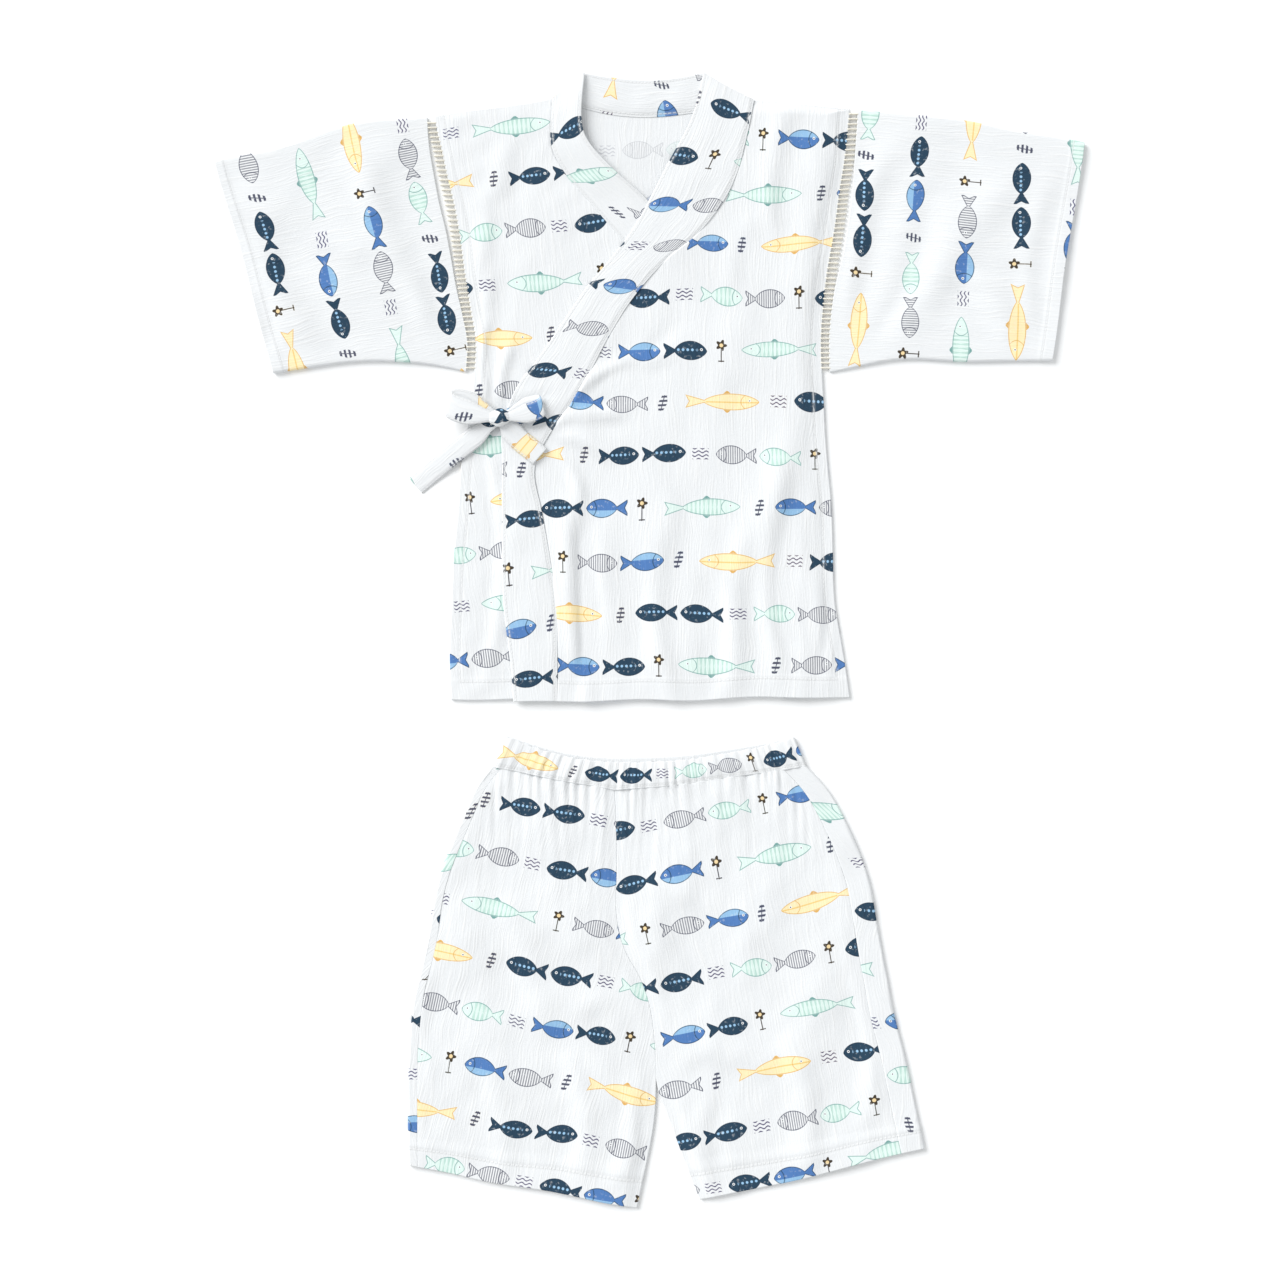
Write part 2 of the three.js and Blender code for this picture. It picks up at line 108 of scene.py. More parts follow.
UNDER = table(
    FRONT_COLUMNS,
    (118, -46, 80, -46, -158, -48),
    (118, -8, 80, -8, -160, -10),
    (119, 34, 80, 34, -158, 30),
    (119, 74, 84, 72, -156, 70),
    (119, 112, 89, 110, -153, 108),
    (119, 146, 94, 138, -150, 146),
    (119, 176, 84, 164, -143, 184),
    (110, 204, 62, 196, -141, 214),
    (96, 222, 48, 218, -140, 238),
    (76, 246, 35, 243, -144, 264),
    (54, 280, 16, 274, -149, 296),
    (36, 302, -9, 304, -153, 328),
    (18, 324, -32, 330, -157, 352),
    (-4, 352, -50, 352, -162, 374),
    (-32, 378, -66, 371, -166, 393),
    (-54, 408, -79, 396, -170, 408),
    (-52, 452, -80, 433, -172, 418),
)

NECK_BAND = table(
    ("freeX", "freeY", "seamX", "seamY"),
    (-51, 451.5, -79, 432),
    (-34, 449, -44, 422),
    (-8, 448, -8, 419),
    (20, 450, 34, 422),
    (43, 453.5, 81, 430),
)

BACK_TOP = table(
    ("x", "y"),
    (-172, 418),
    (-79, 431),
    (-34, 419),
    (20, 419),
    (81, 429),
    (159, 422),
)

# Sleeves from the armhole to the cuff: the top fold and the bottom seam.
SLEEVE_COLUMNS = ("topX", "topY", "bottomX", "bottomY")
SLEEVE_LEFT = table(
    SLEEVE_COLUMNS,
    (-178, 418, -147, 214),
    (-243, 410, -192, 223),
    (-304, 392, -247, 221),
    (-347, 382, -301, 213),
)
SLEEVE_RIGHT = table(
    SLEEVE_COLUMNS,
    (165, 422, 143, 214),
    (230, 418, 200, 224),
    (290, 408, 262, 222),
    (347, 396, 320, 224),
)

# One leg of the shorts from the waistband's seam to the hem: the outer fold at the side,
# and the inner edge, which is the centre seam down to the crotch and then the inseam.
LEG_COLUMNS = ("outerX", "outerY", "innerX", "innerY")
LEG_LEFT = table(
    LEG_COLUMNS,
    (-126, -101, -29, -121),
    (-144, -125, -28, -142),
    (-161, -172, -26, -184),
    (-171, -208, -26, -222),
    (-176, -235, -20, -248),
    (-181, -256, -7, -272),
    (-187, -280, 1, -296),
    (-191, -312, 5, -325),
    (-193, -345, 6, -356),
    (-193, -380, 3, -392),
    (-193, -420, -11, -454),
)
LEG_RIGHT = table(
    LEG_COLUMNS,
    (126, -101, -29, -121),
    (145, -124, -28, -142),
    (163, -160, -26, -184),
    (174, -194, -26, -222),
    (179, -222, -20, -248),
    (184, -246, -7, -272),
    (190, -272, 1, -296),
    (195, -298, 5, -325),
    (202, -330, 7, -356),
    (209, -366, 19, -390),
    (219, -408, 40, -448),
)
WAIST = table(("x", "y"), (-114, -77), (-84, -86), (-34, -95), (20, -91), (75, -85), (116, -77))

# Middle lines of the tie's two hanging ends, from the knot.
KNOT = (-120.0, 178.0)
TAIL_LEFT = table(
    ("x", "y", "z"),
    (-122, 176, 7.6),
    (-131, 170, 6.6),
    (-140, 162, 5.6),
    (-149, 155, 4.7),
    (-160, 146, 3.4),
    (-169, 138, 1.8),
    (-178, 130, 1.0),
    (-187, 122, 0.7),
)
TAIL_RIGHT = table(
    ("x", "y", "z"),
    (-118, 176, 7.8),
    (-111, 168, 7.6),
    (-104, 160, 7.1),
    (-96, 153, 6.9),
    (-88, 146, 6.8),
)

# ---- Folds: soft ridges (height above 0) and troughs (below 0) along lines ----
FOLD_COLUMNS = ("x0", "y0", "x1", "y1", "width", "height")
OVER_FOLDS = table(
    FOLD_COLUMNS,
    (-64, -62, -66, 128, 8, -1.5),
    (-46, -62, -52, 150, 9, 1.9),
    (-22, -62, -28, 110, 8, -0.8),
    (18, -62, 26, 150, 10, 1.3),
    (44, -62, 40, 60, 9, -0.9),
    (74, -62, 86, 120, 10, 1.4),
    (104, -62, 122, 190, 9, 1.5),
    (128, -50, 132, 160, 6, -0.9),
    (-84, 172, -10, 178, 5, 1.5),
    (-80, 178, -4, 206, 5, -0.9),
    (-76, 184, 20, 232, 6, 1.4),
    (-66, 196, 30, 262, 6, -0.8),
    (-82, 164, -24, 138, 5, 1.2),
    (-84, 158, -52, 108, 4, 1.0),
    (104, 300, 110, 436, 8, 0.9),
    (126, 290, 136, 430, 7, -0.6),
    (60, 260, 84, 350, 10, 0.8),
)
UNDER_FOLDS = table(
    FOLD_COLUMNS,
    (-132, 174, -138, -56, 5, 1.0),
    (-146, 130, -148, -50, 4, -0.5),
    (-122, 186, -106, 246, 5, 1.1),
    (-130, 184, -131, 262, 5, 1.7),
    (-136, 190, -142, 240, 3, -0.6),
    (-128, 235, -104, 420, 9, 1.3),
    (-146, 250, -130, 400, 7, -0.6),
)
SLEEVE_LEFT_FOLDS = table(
    FOLD_COLUMNS,
    (-160, 236, -236, 402, 11, 1.5),
    (-182, 226, -262, 380, 10, -0.8),
    (-256, 226, -322, 340, 12, 1.4),
    (-214, 300, -330, 372, 12, 0.8),
    (-300, 226, -330, 300, 7, -0.7),
)
SLEEVE_RIGHT_FOLDS = table(
    FOLD_COLUMNS,
    (152, 246, 196, 410, 11, 1.5),
    (172, 230, 226, 380, 10, -0.8),
    (246, 300, 296, 232, 10, 1.2),
    (214, 240, 300, 380, 13, 0.9),
    (306, 232, 322, 380, 8, 0.7),
)
SHORTS_FOLDS = table(
    FOLD_COLUMNS,
    (0, -190, 96, -262, 11, 1.5),
    (6, -216, 110, -300, 10, -0.9),
    (14, -330, 120, -350, 12, 0.8),
    (-26, -300, -120, -250, 12, 1.2),
    (-34, -330, -130, -330, 13, -0.7),
    (-128, -190, -84, -330, 12, 1.3),
    (-70, -320, -56, -446, 10, 1.2),
    (-132, -330, -120, -440, 9, 0.8),
    (-14, -350, -30, -446, 7, 0.9),
    (106, -310, 124, -440, 11, 1.3),
    (150, -220, 176, -400, 9, 0.9),
    (60, -350, 62, -446, 8, -0.7),
)

# ---- Sizes of the cloth and heights of the layers ----
CLOTH = 1.0             # one layer of washed double gauze
BAND = 1.9              # the collar band, folded double
TAPE = 0.9
TAPE_WIDTH = 16.0
HEM_FOLD = 0.9          # what the fold of a hem adds to the cloth
JACKET_HEM = 15.0
SHORTS_HEM = 18.0
HEM_EDGE = 0.8          # radius of a hem's rounded edge
CUT_EDGE = 0.6          # radius of an edge that goes into a seam
BACK_LEVEL = 0.6        # height of the back layers' middle above the floor
EDGE_LEVEL = 2.0        # height of an upper layer at its edges
UNDER_LEVEL = 2.4
UNDER_BAND_LEVEL = 2.8
OVER_LEVEL = 4.5
OVER_BAND_LEVEL = 4.9
NECK_BAND_LEVEL = 2.2
SLEEVE_LEVEL = 3.6
SHORTS_LEVEL = 3.3
LACING = 6.0            # width of the open lacing
LACING_STEP = 4.0       # from one bundle of its thread to the next
TUCK = 1.5              # how far a front runs on under its band
WANDER = 1.0            # how far the edges sway
SIDE_WRAP_LEFT = 7.0    # how far the shorts' back comes round onto the top
SIDE_WRAP_RIGHT = 18.0
LEG_LENGTH = 340.0
WAIST_SPAN = 252.0
WAIST_DEPTH = 24.0
WAIST_EASE = 1.25       # cloth along the waist for each millimetre of the ring

# Each piece's cut, laid flat without its seams and hems: width and length in millimetres,
# and area in square metres. The bands and tapes are folded double, and the waistband's
# cut is longer than its ring because the elastic gathers it.
CUTS = {
    "jacket_back": (331, 480, 0.1412),
    "jacket_front_under": (268, 481, 0.0897),
    "jacket_front_over": (253, 480, 0.0850),
    "collar_over": (39.5, 541, 0.0213),
    "collar_under": (34.3, 545, 0.0187),
    "collar_neck": (28.9, 128, 0.0037),
    "sleeve_left": (413, 201, 0.0612),
    "sleeve_right": (418, 204, 0.0687),
    "bow_tail_left": (16, 92, 0.00147),
    "bow_tail_right": (16, 44, 0.0007),
    "bow_loop_left": (16, 82, 0.00131),
    "bow_loop_right": (16, 68, 0.00108),
    "bow_knot": (16, 36, 0.00057),
    "shorts_back_left": (206, 353, 0.0569),
    "shorts_front_left": (192, 353, 0.0523),
    "shorts_back_right": (266, 347, 0.0677),
    "shorts_front_right": (230, 347, 0.0560),
    "waistband": (620, 24, 0.01488),
}


# ---- Curves and grids ----

def lerp(a, b, t):
    """The straight blend of a and b."""
    return a + (b - a) * t


def smooth(t):
    """A soft step: 0 below 0, 1 above 1, and 3t^2 - 2t^3 between."""
    t = np.clip(t, 0, 1)
    return t * t * (3 - 2 * t)


def column(rows, name, t):
    """A table's column as a smooth function of t from its first row at 0 to its last at 1.

    Each span is the cubic through its two rows whose slopes come from their neighbours.
    """
    values = rows[name]
    at = np.clip(t, 0, 1) * (len(values) - 1)
    i = np.minimum(at.astype(int), len(values) - 2)
    f = at - i
    p0, p1, p2, p3 = (values[np.clip(i + k, 0, len(values) - 1)] for k in (-1, 0, 1, 2))
    cubic = (3 * p1 - p0 - 3 * p2 + p3) * f**3
    return 0.5 * (2 * p1 + (p2 - p0) * f + (2 * p0 - 5 * p1 + 4 * p2 - p3) * f**2 + cubic)


def edge(rows, name, t):
    """The x and y of a named edge of a table at t."""
    return column(rows, name + "X", t), column(rows, name + "Y", t)


def crowded(count, pull=0.85):
    """Places from 0 to 1 that crowd towards both ends, so that rounded edges are fine."""
    s = np.linspace(0, 1, count + 1)
    return s - pull * np.sin(2 * np.pi * s) / (2 * np.pi)


def grid(across, along):
    """u and v over a grid with the given number of cells, crowded towards its edges."""
    return np.meshgrid(crowded(across), crowded(along))


def rounded(distance, radius):
    """The share of full thickness at a distance from a rounded edge: a quarter circle."""
    return np.sqrt(np.clip(1 - (1 - np.clip(distance / radius, 0, 1)) ** 2, 0.01, 1))


def hem_fold(distance, width, extra=HEM_FOLD):
    """What a hem of a given width adds to the thickness at a distance from the edge: the
    extra, with a soft step down where the fold ends."""
    return extra * smooth((width - distance) / 1.5 + 0.5)


def folds(rows, x, y):
    """The height that a table of folds adds: for each line a bell across it with a shallow
    dip of the other sign on one side, which runs out smoothly at both of its ends."""
    total = np.zeros_like(x)
    for x0, y0, x1, y1, width, height in zip(*(rows[name] for name in FOLD_COLUMNS)):
        dx, dy = x1 - x0, y1 - y0
        length = np.hypot(dx, dy)
        along = ((x - x0) * dx + (y - y0) * dy) / length**2
        bend = 0.08 * length * np.sin(np.pi * np.clip(along, 0, 1)) * np.sign(height)
        across = ((x - x0) * dy - (y - y0) * dx) / length + bend
        wide = width * (0.75 + 0.5 * np.clip(along, 0, 1))
        ends = smooth(along * 3.5) * smooth((1 - along) * 3.5)
        bell = np.exp(-((across / wide) ** 2))
        dip = np.exp(-(((across - 1.8 * wide) / wide) ** 2))
        total += height * ends * (bell - 0.35 * dip)
    return total


def undulation(x, y, size, seed):
    """A gentle uneven relief of height about 1: waves of about one size in all directions."""
    waves = 7
    rng = np.random.default_rng(seed)
    total = np.zeros_like(x)
    for _ in range(waves):
        angle, phase = rng.uniform(0, 2 * np.pi, 2)
        length = size * rng.uniform(0.7, 1.7)
        total += np.sin((x * np.cos(angle) + y * np.sin(angle)) * 2 * np.pi / length + phase)
    return total / np.sqrt(waves)


def relief(rows, x, y, seed, depth=0.5):
    """The folds of a table with the small unevenness of washed gauze."""
    small = 0.3 * undulation(x, y, 26, seed + 1)
    return 1.5 * folds(rows, x, y) + depth * (undulation(x, y, 70, seed) + small)


def limited(height, least):
    """A height that levels off softly at a least value."""
    return least + np.log1p(np.exp((height - least) * 4)) / 4


def turned(x, y, degrees):
    """Grain coordinates: x and y turned so that the print's rows lie at the given angle."""
    a = np.radians(degrees)
    return x * np.cos(a) + y * np.sin(a), y * np.cos(a) - x * np.sin(a)


def laid_by_hand(points):
    """Points moved a little in plan, alike for all pieces, so that no edge runs dead straight."""
    x, y, z = points[..., 0], points[..., 1], points[..., 2]
    sway = [WANDER * undulation(x, y, 95, seed) for seed in (7, 8)]
    return np.stack([x + sway[0], y + sway[1], z], -1)


def run_along(*coordinates):
    """How far each point of a line lies along it: the running sum of its steps."""
    steps = np.sqrt(sum(np.diff(part) ** 2 for part in coordinates))
    return np.concatenate([[0.0], np.cumsum(steps)])


def flat_ring(u, width, height, under, bend):
    """A flattened tube's section as u goes round it: the place across it and the height above
    its under layer. The share called under runs along the bottom, the share called bend goes
    round each half circle at the sides, and the rest runs back along the top."""
    radius = height / 2
    over = 1 - under - 2 * bend
    turn = np.where(u < under + bend, u - under, u - 1 + bend) / bend * np.pi
    runs = [u < under, u < under + bend, u < 1 - bend]
    places = [
        lerp(radius, width - radius, u / under),
        width - radius + radius * np.sin(turn),
        lerp(width - radius, radius, (u - under - bend) / over),
    ]
    across = np.select(runs, places, radius - radius * np.sin(turn))
    rise = radius * np.cos(turn)
    return across, np.select(runs, [0 * u, radius - rise, height + 0 * u], radius + rise)


# ---- Meshes ----

def linked(name, data):
    """A new object with the given data, in the scene."""
    piece = bpy.data.objects.new(name, data)
    bpy.context.collection.objects.link(piece)
    return piece


def wall(name, points, thickness, grain, hem, closed=False, flip=False):
    """A closed wall round a grid of middle points, half its thickness to each side of them
    along the grid's normals. The first material covers the side that the normal points to
    and the rims, the second the other side. grain and hem become the UV maps, in metres. A
    closed wall's last column repeats its first. flip takes the columns in reverse, which
    turns the normals over."""
    maps = {"Grain": np.stack(grain, -1), "Hem": np.stack(hem, -1)}
    if flip:
        points, thickness = points[:, ::-1], thickness[:, ::-1]
        maps = {layer: values[:, ::-1] for layer, values in maps.items()}
    points = laid_by_hand(points)
    rows, columns = points.shape[:2]
    if closed:
        ring, thick = points[:, :-1], thickness[:, :-1]
        across = np.roll(ring, -1, 1) - np.roll(ring, 1, 1)
    else:
        ring, thick = points, thickness
        across = np.gradient(ring, axis=1)
    normal = np.cross(across, np.gradient(ring, axis=0))
    normal /= np.maximum(np.linalg.norm(normal, axis=2, keepdims=True), 1e-9)
    half = normal * thick[..., None] / 2
    vertices = np.concatenate([(ring + half).reshape(-1, 3), (ring - half).reshape(-1, 3)]) * MM

    def faces(*corners):
        """Quads from four corners, each (side, row, column) with arrays or numbers."""
        flat = [np.stack(np.broadcast_arrays(*corner), -1).reshape(-1, 3) for corner in corners]
        return np.stack(flat, 1)

    j, i = (index.ravel() for index in np.mgrid[0 : rows - 1, 0 : columns - 1])
    a, b = np.arange(columns - 1), np.arange(rows - 1)
    end, last = rows - 1, columns - 1
    outer = faces((0, j, i), (0, j, i + 1), (0, j + 1, i + 1), (0, j + 1, i))
    inner = faces((1, j, i), (1, j + 1, i), (1, j + 1, i + 1), (1, j, i + 1))
    rims = [
        faces((0, 0, a + 1), (0, 0, a), (1, 0, a), (1, 0, a + 1)),
        faces((0, end, a), (0, end, a + 1), (1, end, a + 1), (1, end, a)),
    ]
    if not closed:
        rims.append(faces((0, b, 0), (0, b + 1, 0), (1, b + 1, 0), (1, b, 0)))
        rims.append(faces((0, b + 1, last), (0, b, last), (1, b, last), (1, b + 1, last)))
    quads = np.concatenate([outer, inner, *rims])
    width = ring.shape[1]
    index = (quads[..., 0] * rows + quads[..., 1]) * width + quads[..., 2] % width
    mesh = bpy.data.meshes.new(name)
    mesh.from_pydata(vertices.tolist(), [], index.tolist())
    corner = (quads[..., 1] * columns + quads[..., 2]).ravel()
    for layer, values in maps.items():
        flat = values.reshape(-1, 2)[corner] * MM
        mesh.uv_layers.new(name=layer).data.foreach_set("uv", flat.ravel())
    side = np.zeros(len(quads), int)
    side[len(outer) : len(outer) + len(inner)] = 1
    mesh.polygons.foreach_set("material_index", side)
    mesh.polygons.foreach_set("use_smooth", np.ones(len(quads), bool))
    mesh.update()
    return linked(name, mesh)


def settle(piece, materials):
    """Gives a piece its materials and its body, hides the frame's node that it stands for,
    which is called as the piece is without the last word, and gives that node's name back."""
    for material in materials:
        piece.data.materials.append(material)
    node = piece.name.rpartition("_")[0]
    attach(piece, BODY)
    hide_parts(node)
    return node


def sheet(piece, materials, rests_on=()):
    width, length, area = CUTS[settle(piece, materials)]
    list(rests_on)


# ---- Materials ----

def operation(name, swapped=False):
    """A method that adds one Math node, its operands swapped for a reflected form."""
    def method(self, *others):
        operands = [*others, self] if swapped else [self, *others]
        return self.tree.node("ShaderNodeMath", {"operation": name}, operands)

    return method


class Value:
    """A number's socket in a material's nodes, on which sums add Math nodes."""

    def __init__(self, tree, socket):
        self.tree = tree
        self.socket = socket

    __add__ = __radd__ = operation("ADD")
    __sub__ = operation("SUBTRACT")
    __rsub__ = operation("SUBTRACT", swapped=True)
    __mul__ = __rmul__ = operation("MULTIPLY")
    __truediv__ = operation("DIVIDE")
    __abs__ = operation("ABSOLUTE")
    __lt__ = operation("LESS_THAN")
    __gt__ = operation("GREATER_THAN")
    floor = operation("FLOOR")
    fract = operation("FRACT")
    modulo = operation("FLOORED_MODULO")
    power = operation("POWER")
    sqrt = operation("SQRT")
    sin = operation("SINE")
    cos = operation("COSINE")
    angle = operation("ARCTAN2")
    least = operation("MINIMUM")
    most = operation("MAXIMUM")

    def __neg__(self):
        return self * -1.0

    def clamped(self):
        """The value held between 0 and 1."""
        return self.tree.node("ShaderNodeMath", {"operation": "ADD", "use_clamp": True}, [self, 0.0])

    def repeated(self, pitch):
        """The distance to the middle of the nearest of equal steps."""
        return abs((self / pitch).fract() - 0.5) * pitch


class Tree:
    """The nodes of one new material."""

    def __init__(self, name, roughness=0.9):
        self.material = bpy.data.materials.new(name)
        self.material.use_nodes = True
        self.nodes = self.material.node_tree.nodes
        self.links = self.material.node_tree.links
        self.shader = self.nodes["Principled BSDF"]
        self.shader.inputs["Roughness"].default_value = roughness

    def node(self, kind, settings=None, inputs=(), output=0):
        """Adds a node: its settings first, then its sockets' values or links."""
        node = self.nodes.new(kind)
        for name, value in (settings or {}).items():
            if name == "stops":
                self.stops(node.color_ramp, value)
            elif name == "interpolation":
                node.color_ramp.interpolation = value
            else:
                setattr(node, name, value)
        pairs = inputs.items() if isinstance(inputs, dict) else enumerate(inputs)
        for key, value in pairs:
            self.feed(node.inputs[key], value)
        return Value(self, node.outputs[output])

    def stops(self, ramp, stops):
        """Sets a ramp's stops, each (place, colour)."""
        while len(ramp.elements) < len(stops):
            ramp.elements.new(1.0)
        for element, (place, colour) in zip(ramp.elements, stops):
            element.position = place
            element.color = (*colour, 1.0)

    def feed(self, socket, value):
        """Links a value's socket, or sets a constant; a colour of three parts is opaque."""
        if isinstance(value, Value):
            self.links.new(value.socket, socket)
        elif socket.type == "RGBA":
            socket.default_value = (*value[:3], 1.0)
        else:
            socket.default_value = value

    def colour_mix(self, factor, first, second):
        """Mixes two colours by a factor."""
        return self.node("ShaderNodeMix", {"data_type": "RGBA"}, {0: factor, 6: first, 7: second}, output=2)

    def map(self, name):
        """The two coordinates of a UV map, in millimetres."""
        uv = self.node("ShaderNodeUVMap", {"uv_map": name})
        parts = self.node("ShaderNodeSeparateXYZ", {}, [uv]).socket.node
        return tuple(Value(self, parts.outputs[k]) * (1 / MM) for k in (0, 1))

    def vector(self, x, y):
        """A vector of two coordinates."""
        return self.node("ShaderNodeCombineXYZ", {}, [x, y])

    def noise(self, vector, scale, detail):
        """Flat noise from 0 to 1, about 0.5 on average."""
        inputs = {"Vector": vector, "Scale": scale, "Detail": detail}
        return self.node("ShaderNodeTexNoise", {"noise_dimensions": "2D"}, inputs)

    def inside(self, distance, blur=0.3):
        """1 where a distance in millimetres is below 0, with a soft edge."""
        return (0.5 - distance / blur).clamped()

    def pick(self, index, choices):
        """One of a list of colours or numbers by a whole number."""
        count = len(choices)
        colours = [c if isinstance(c, tuple) else (c, c, c) for c in choices]
        stops = [(max(0.0, (k - 0.25) / count), colour) for k, colour in enumerate(colours)]
        settings = {"interpolation": "CONSTANT", "stops": stops}
        return self.node("ShaderNodeValToRGB", settings, [index / count])

    def blended(self, index, masks):
        """The mask that a whole number picks out of a list: each times 1 where the number is
        its place in the list, added up."""
        return sum(self.inside(abs(index - float(k)) - 0.5, 0.02) * mask for k, mask in enumerate(masks))

    def finish(self, colour, height=None, strength=0.3, distance=0.0005):
        """Feeds the shader its colour and its relief."""
        self.feed(self.shader.inputs["Base Color"], colour)
        if height is not None:
            inputs = {"Strength": strength, "Distance": distance, "Height": height}
            self.feed(self.shader.inputs["Normal"], self.node("ShaderNodeBump", {}, inputs))
        return self.material


NAVY = (0.012, 0.045, 0.085)
BLUE = (0.075, 0.19, 0.46)
SKY = (0.32, 0.55, 0.78)
GREY = (0.30, 0.31, 0.34)
MINT = (0.50, 0.70, 0.63)
PALE_MINT = (0.72, 0.86, 0.81)
DARK_MINT = (0.18, 0.36, 0.34)
OCHRE = (0.86, 0.60, 0.22)
PALE_OCHRE = (0.95, 0.80, 0.48)
DARK_OCHRE = (0.72, 0.42, 0.12)
PALE_GREY = (0.86, 0.87, 0.88)
BROWN = (0.05, 0.035, 0.02)
SLATE = (0.07, 0.075, 0.12)
PLUM = (0.09, 0.075, 0.16)
INK = (0.01, 0.03, 0.06)
EYE_WHITE = (0.9, 0.92, 0.93)
PUPIL = (0.02, 0.02, 0.03)
POLLEN = (0.85, 0.66, 0.36)


# The print: its repeat along a row, the rows' height, and the fish in it.
PRINT_REPEAT = 93.0
PRINT_ROW = 42.0
FISH_MIDDLE = 36.0      # middle of the pair or of the long fish, in the repeat
FISH_APART = 18.0       # from there to the middle of each fish of a pair
FISH_HALF = 16.8        # half a fish's length
LONG_EXTRA = 14.0       # what a long fish adds to that
FISH_DEPTH = 7.4        # half a fish's height
LONG_SLIMMER = 0.6      # what comes off that in a long fish
MOTIF_MIDDLE = 82.0


def fish_print(t, s, r):
    """The generic print: rows of fish, with ripples, flowers on stems and sprigs between.

    Rows lie a fixed height apart and each is shifted along by a share of the repeat. In a
    repeat, a pair of short fish or one long fish is followed by a small motif. A
    fish is the space between its back and belly: a rounded lens for the body and a straight
    widening tail with a fork. Returns the print's colour and how much ink lies there."""
    wander = t.noise(t.vector(s, r), 0.012, 0.0) - 0.5
    r = r + wander * 5.0
    row = (r / PRINT_ROW).floor()
    y = r - (row + 0.5) * PRINT_ROW
    along = s + (row * 0.41 + 0.13).fract() * PRINT_REPEAT + row.modulo(2.0) * 9.0
    cell = (along / PRINT_REPEAT).floor()
    x = along - cell * PRINT_REPEAT
    # In each repeat, kind picks the fish and small the motif, and way turns the fish round.
    kind = (cell * 5.0 + row * 2.0).modulo(6.0)
    small = (cell + row * 2.0).modulo(3.0)
    way = 1.0 - (cell + row).modulo(2.0) * 2.0

    # The fish's outline. n runs from -1 at its nose to 1 at its tail.
    is_long = t.pick(kind, [0.0, 1.0, 0.0, 1.0, 0.0, 0.0])
    q = (x - FISH_MIDDLE) * way
    tilt = (row + cell).modulo(3.0) - 1.0
    up = y - q * tilt * 0.03
    behind = q > 0.0
    centre = (behind * 2.0 - 1.0) * FISH_APART * (1.0 - is_long)
    half = FISH_HALF + is_long * LONG_EXTRA
    depth = FISH_DEPTH - is_long * LONG_SLIMMER
    n = (q - centre) / half
    lens = (n + 0.24) / 0.76
    body = (1.0 - lens * lens).most(0.0).power(0.7) * depth
    tail = (n - 0.36) * depth * 1.35
    flank = abs(up) - body.most(tail.least(depth * 0.82))
    fork = (n - 0.88) * half - abs(up) * 0.5
    outline = flank.most(fork).most((abs(n) - 1.0) * half)
    fish = t.inside(outline)
    finned = abs(abs(n + 0.12) * half * 0.9 + (abs(up) - depth * 1.16)) - 1.6
    fin = t.inside(finned.most(abs(up) - depth * 1.3)) * t.inside(-outline) * is_long

    # The fish's colours and markings, by its breed: dotted, two-tone, striped, scaled or lined.
    first = t.pick(kind, [0.0, 4.0, 1.0, 3.0, 0.0, 2.0])
    second = t.pick(kind, [0.0, 4.0, 2.0, 3.0, 1.0, 3.0])
    breed = first + (second - first) * behind
    fill = t.pick(breed, [NAVY, BLUE, GREY, MINT, OCHRE])
    pale = t.pick(breed, [SKY, SKY, PALE_GREY, PALE_MINT, PALE_OCHRE])
    dark = t.pick(breed, [INK, NAVY, SLATE, DARK_MINT, DARK_OCHRE])
    spot = (q / 3.6).fract() - 0.5
    dots = t.inside(spot * spot * 13.0 + (up - 0.6) * (up - 0.6) - 1.1, 0.8)
    belly = t.inside(up * way + 1.6) * (n < 0.5)
    hatch = t.inside(q.repeated(1.9) - 0.42)
    scales = t.inside(q.repeated(3.4) - 0.35 - abs(up) * 0.12) * (n < 0.42) * (n > -0.5)
    stripe = t.inside(abs(up + 0.4) - 0.55) * (n < 0.45)
    marks = [dots * (n < 0.4) * (n > -0.55), belly * 0.85, hatch, 1.0 - scales, 1.0 - stripe]
    colour = t.colour_mix(t.blended(breed, marks).clamped(), fill, pale)
    rim = t.inside(-outline - 0.75) * fish
    gill = t.inside(abs(n + 0.5 + up * up * 0.004) * half - 0.4)
    colour = t.colour_mix((rim * 0.85 + gill * 0.8).clamped(), colour, dark)
    eye_x, eye_y = (n + 0.74) * half, up - 1.0
    eye = (eye_x * eye_x + eye_y * eye_y).sqrt()
    colour = t.colour_mix(t.inside(eye - 1.05), colour, EYE_WHITE)
    colour = t.colour_mix(t.inside(eye - 0.5), colour, PUPIL)
    colour = t.colour_mix(fin, colour, dark)

    # The small motif near the end of the repeat: a ripple, a flower on a stem, or a sprig.
    x = x - MOTIF_MIDDLE
    wave = (y + (x * 1.05).sin() * 0.72).repeated(3.0) - 0.5
    ripple = t.inside(wave.most(abs(x) - 6.4).most(abs(y) - 4.4))
    head = y - 4.2
    radius = (x * x + head * head).sqrt()
    petals = t.inside(radius - 3.6 - (head.angle(x) * 5.0).cos())
    stem = t.inside((abs(x) - 0.42).most(abs(y + 4.0) - 5.4))
    foot = t.inside((abs(y + 8.6) - 0.5).most(abs(x) - 2.4))
    flower = petals.most(stem).most(foot)
    lean = x - y * 0.22
    leaves = (y.repeated(3.6) - 0.35).most(abs(lean) - 3.2 + abs(y) * 0.3)
    sprig = t.inside((abs(lean) - 0.4).least(leaves - 0.55).most(abs(y) - 6.6))
    motif = t.blended(small, [ripple, flower, sprig])
    heart = t.blended(small, [0.0, t.inside(radius - 1.5)])
    shade = t.colour_mix(heart, t.pick(small, [PLUM, BROWN, SLATE]), POLLEN)
    return t.colour_mix(motif, colour, shade), fish.most(fin).most(motif)


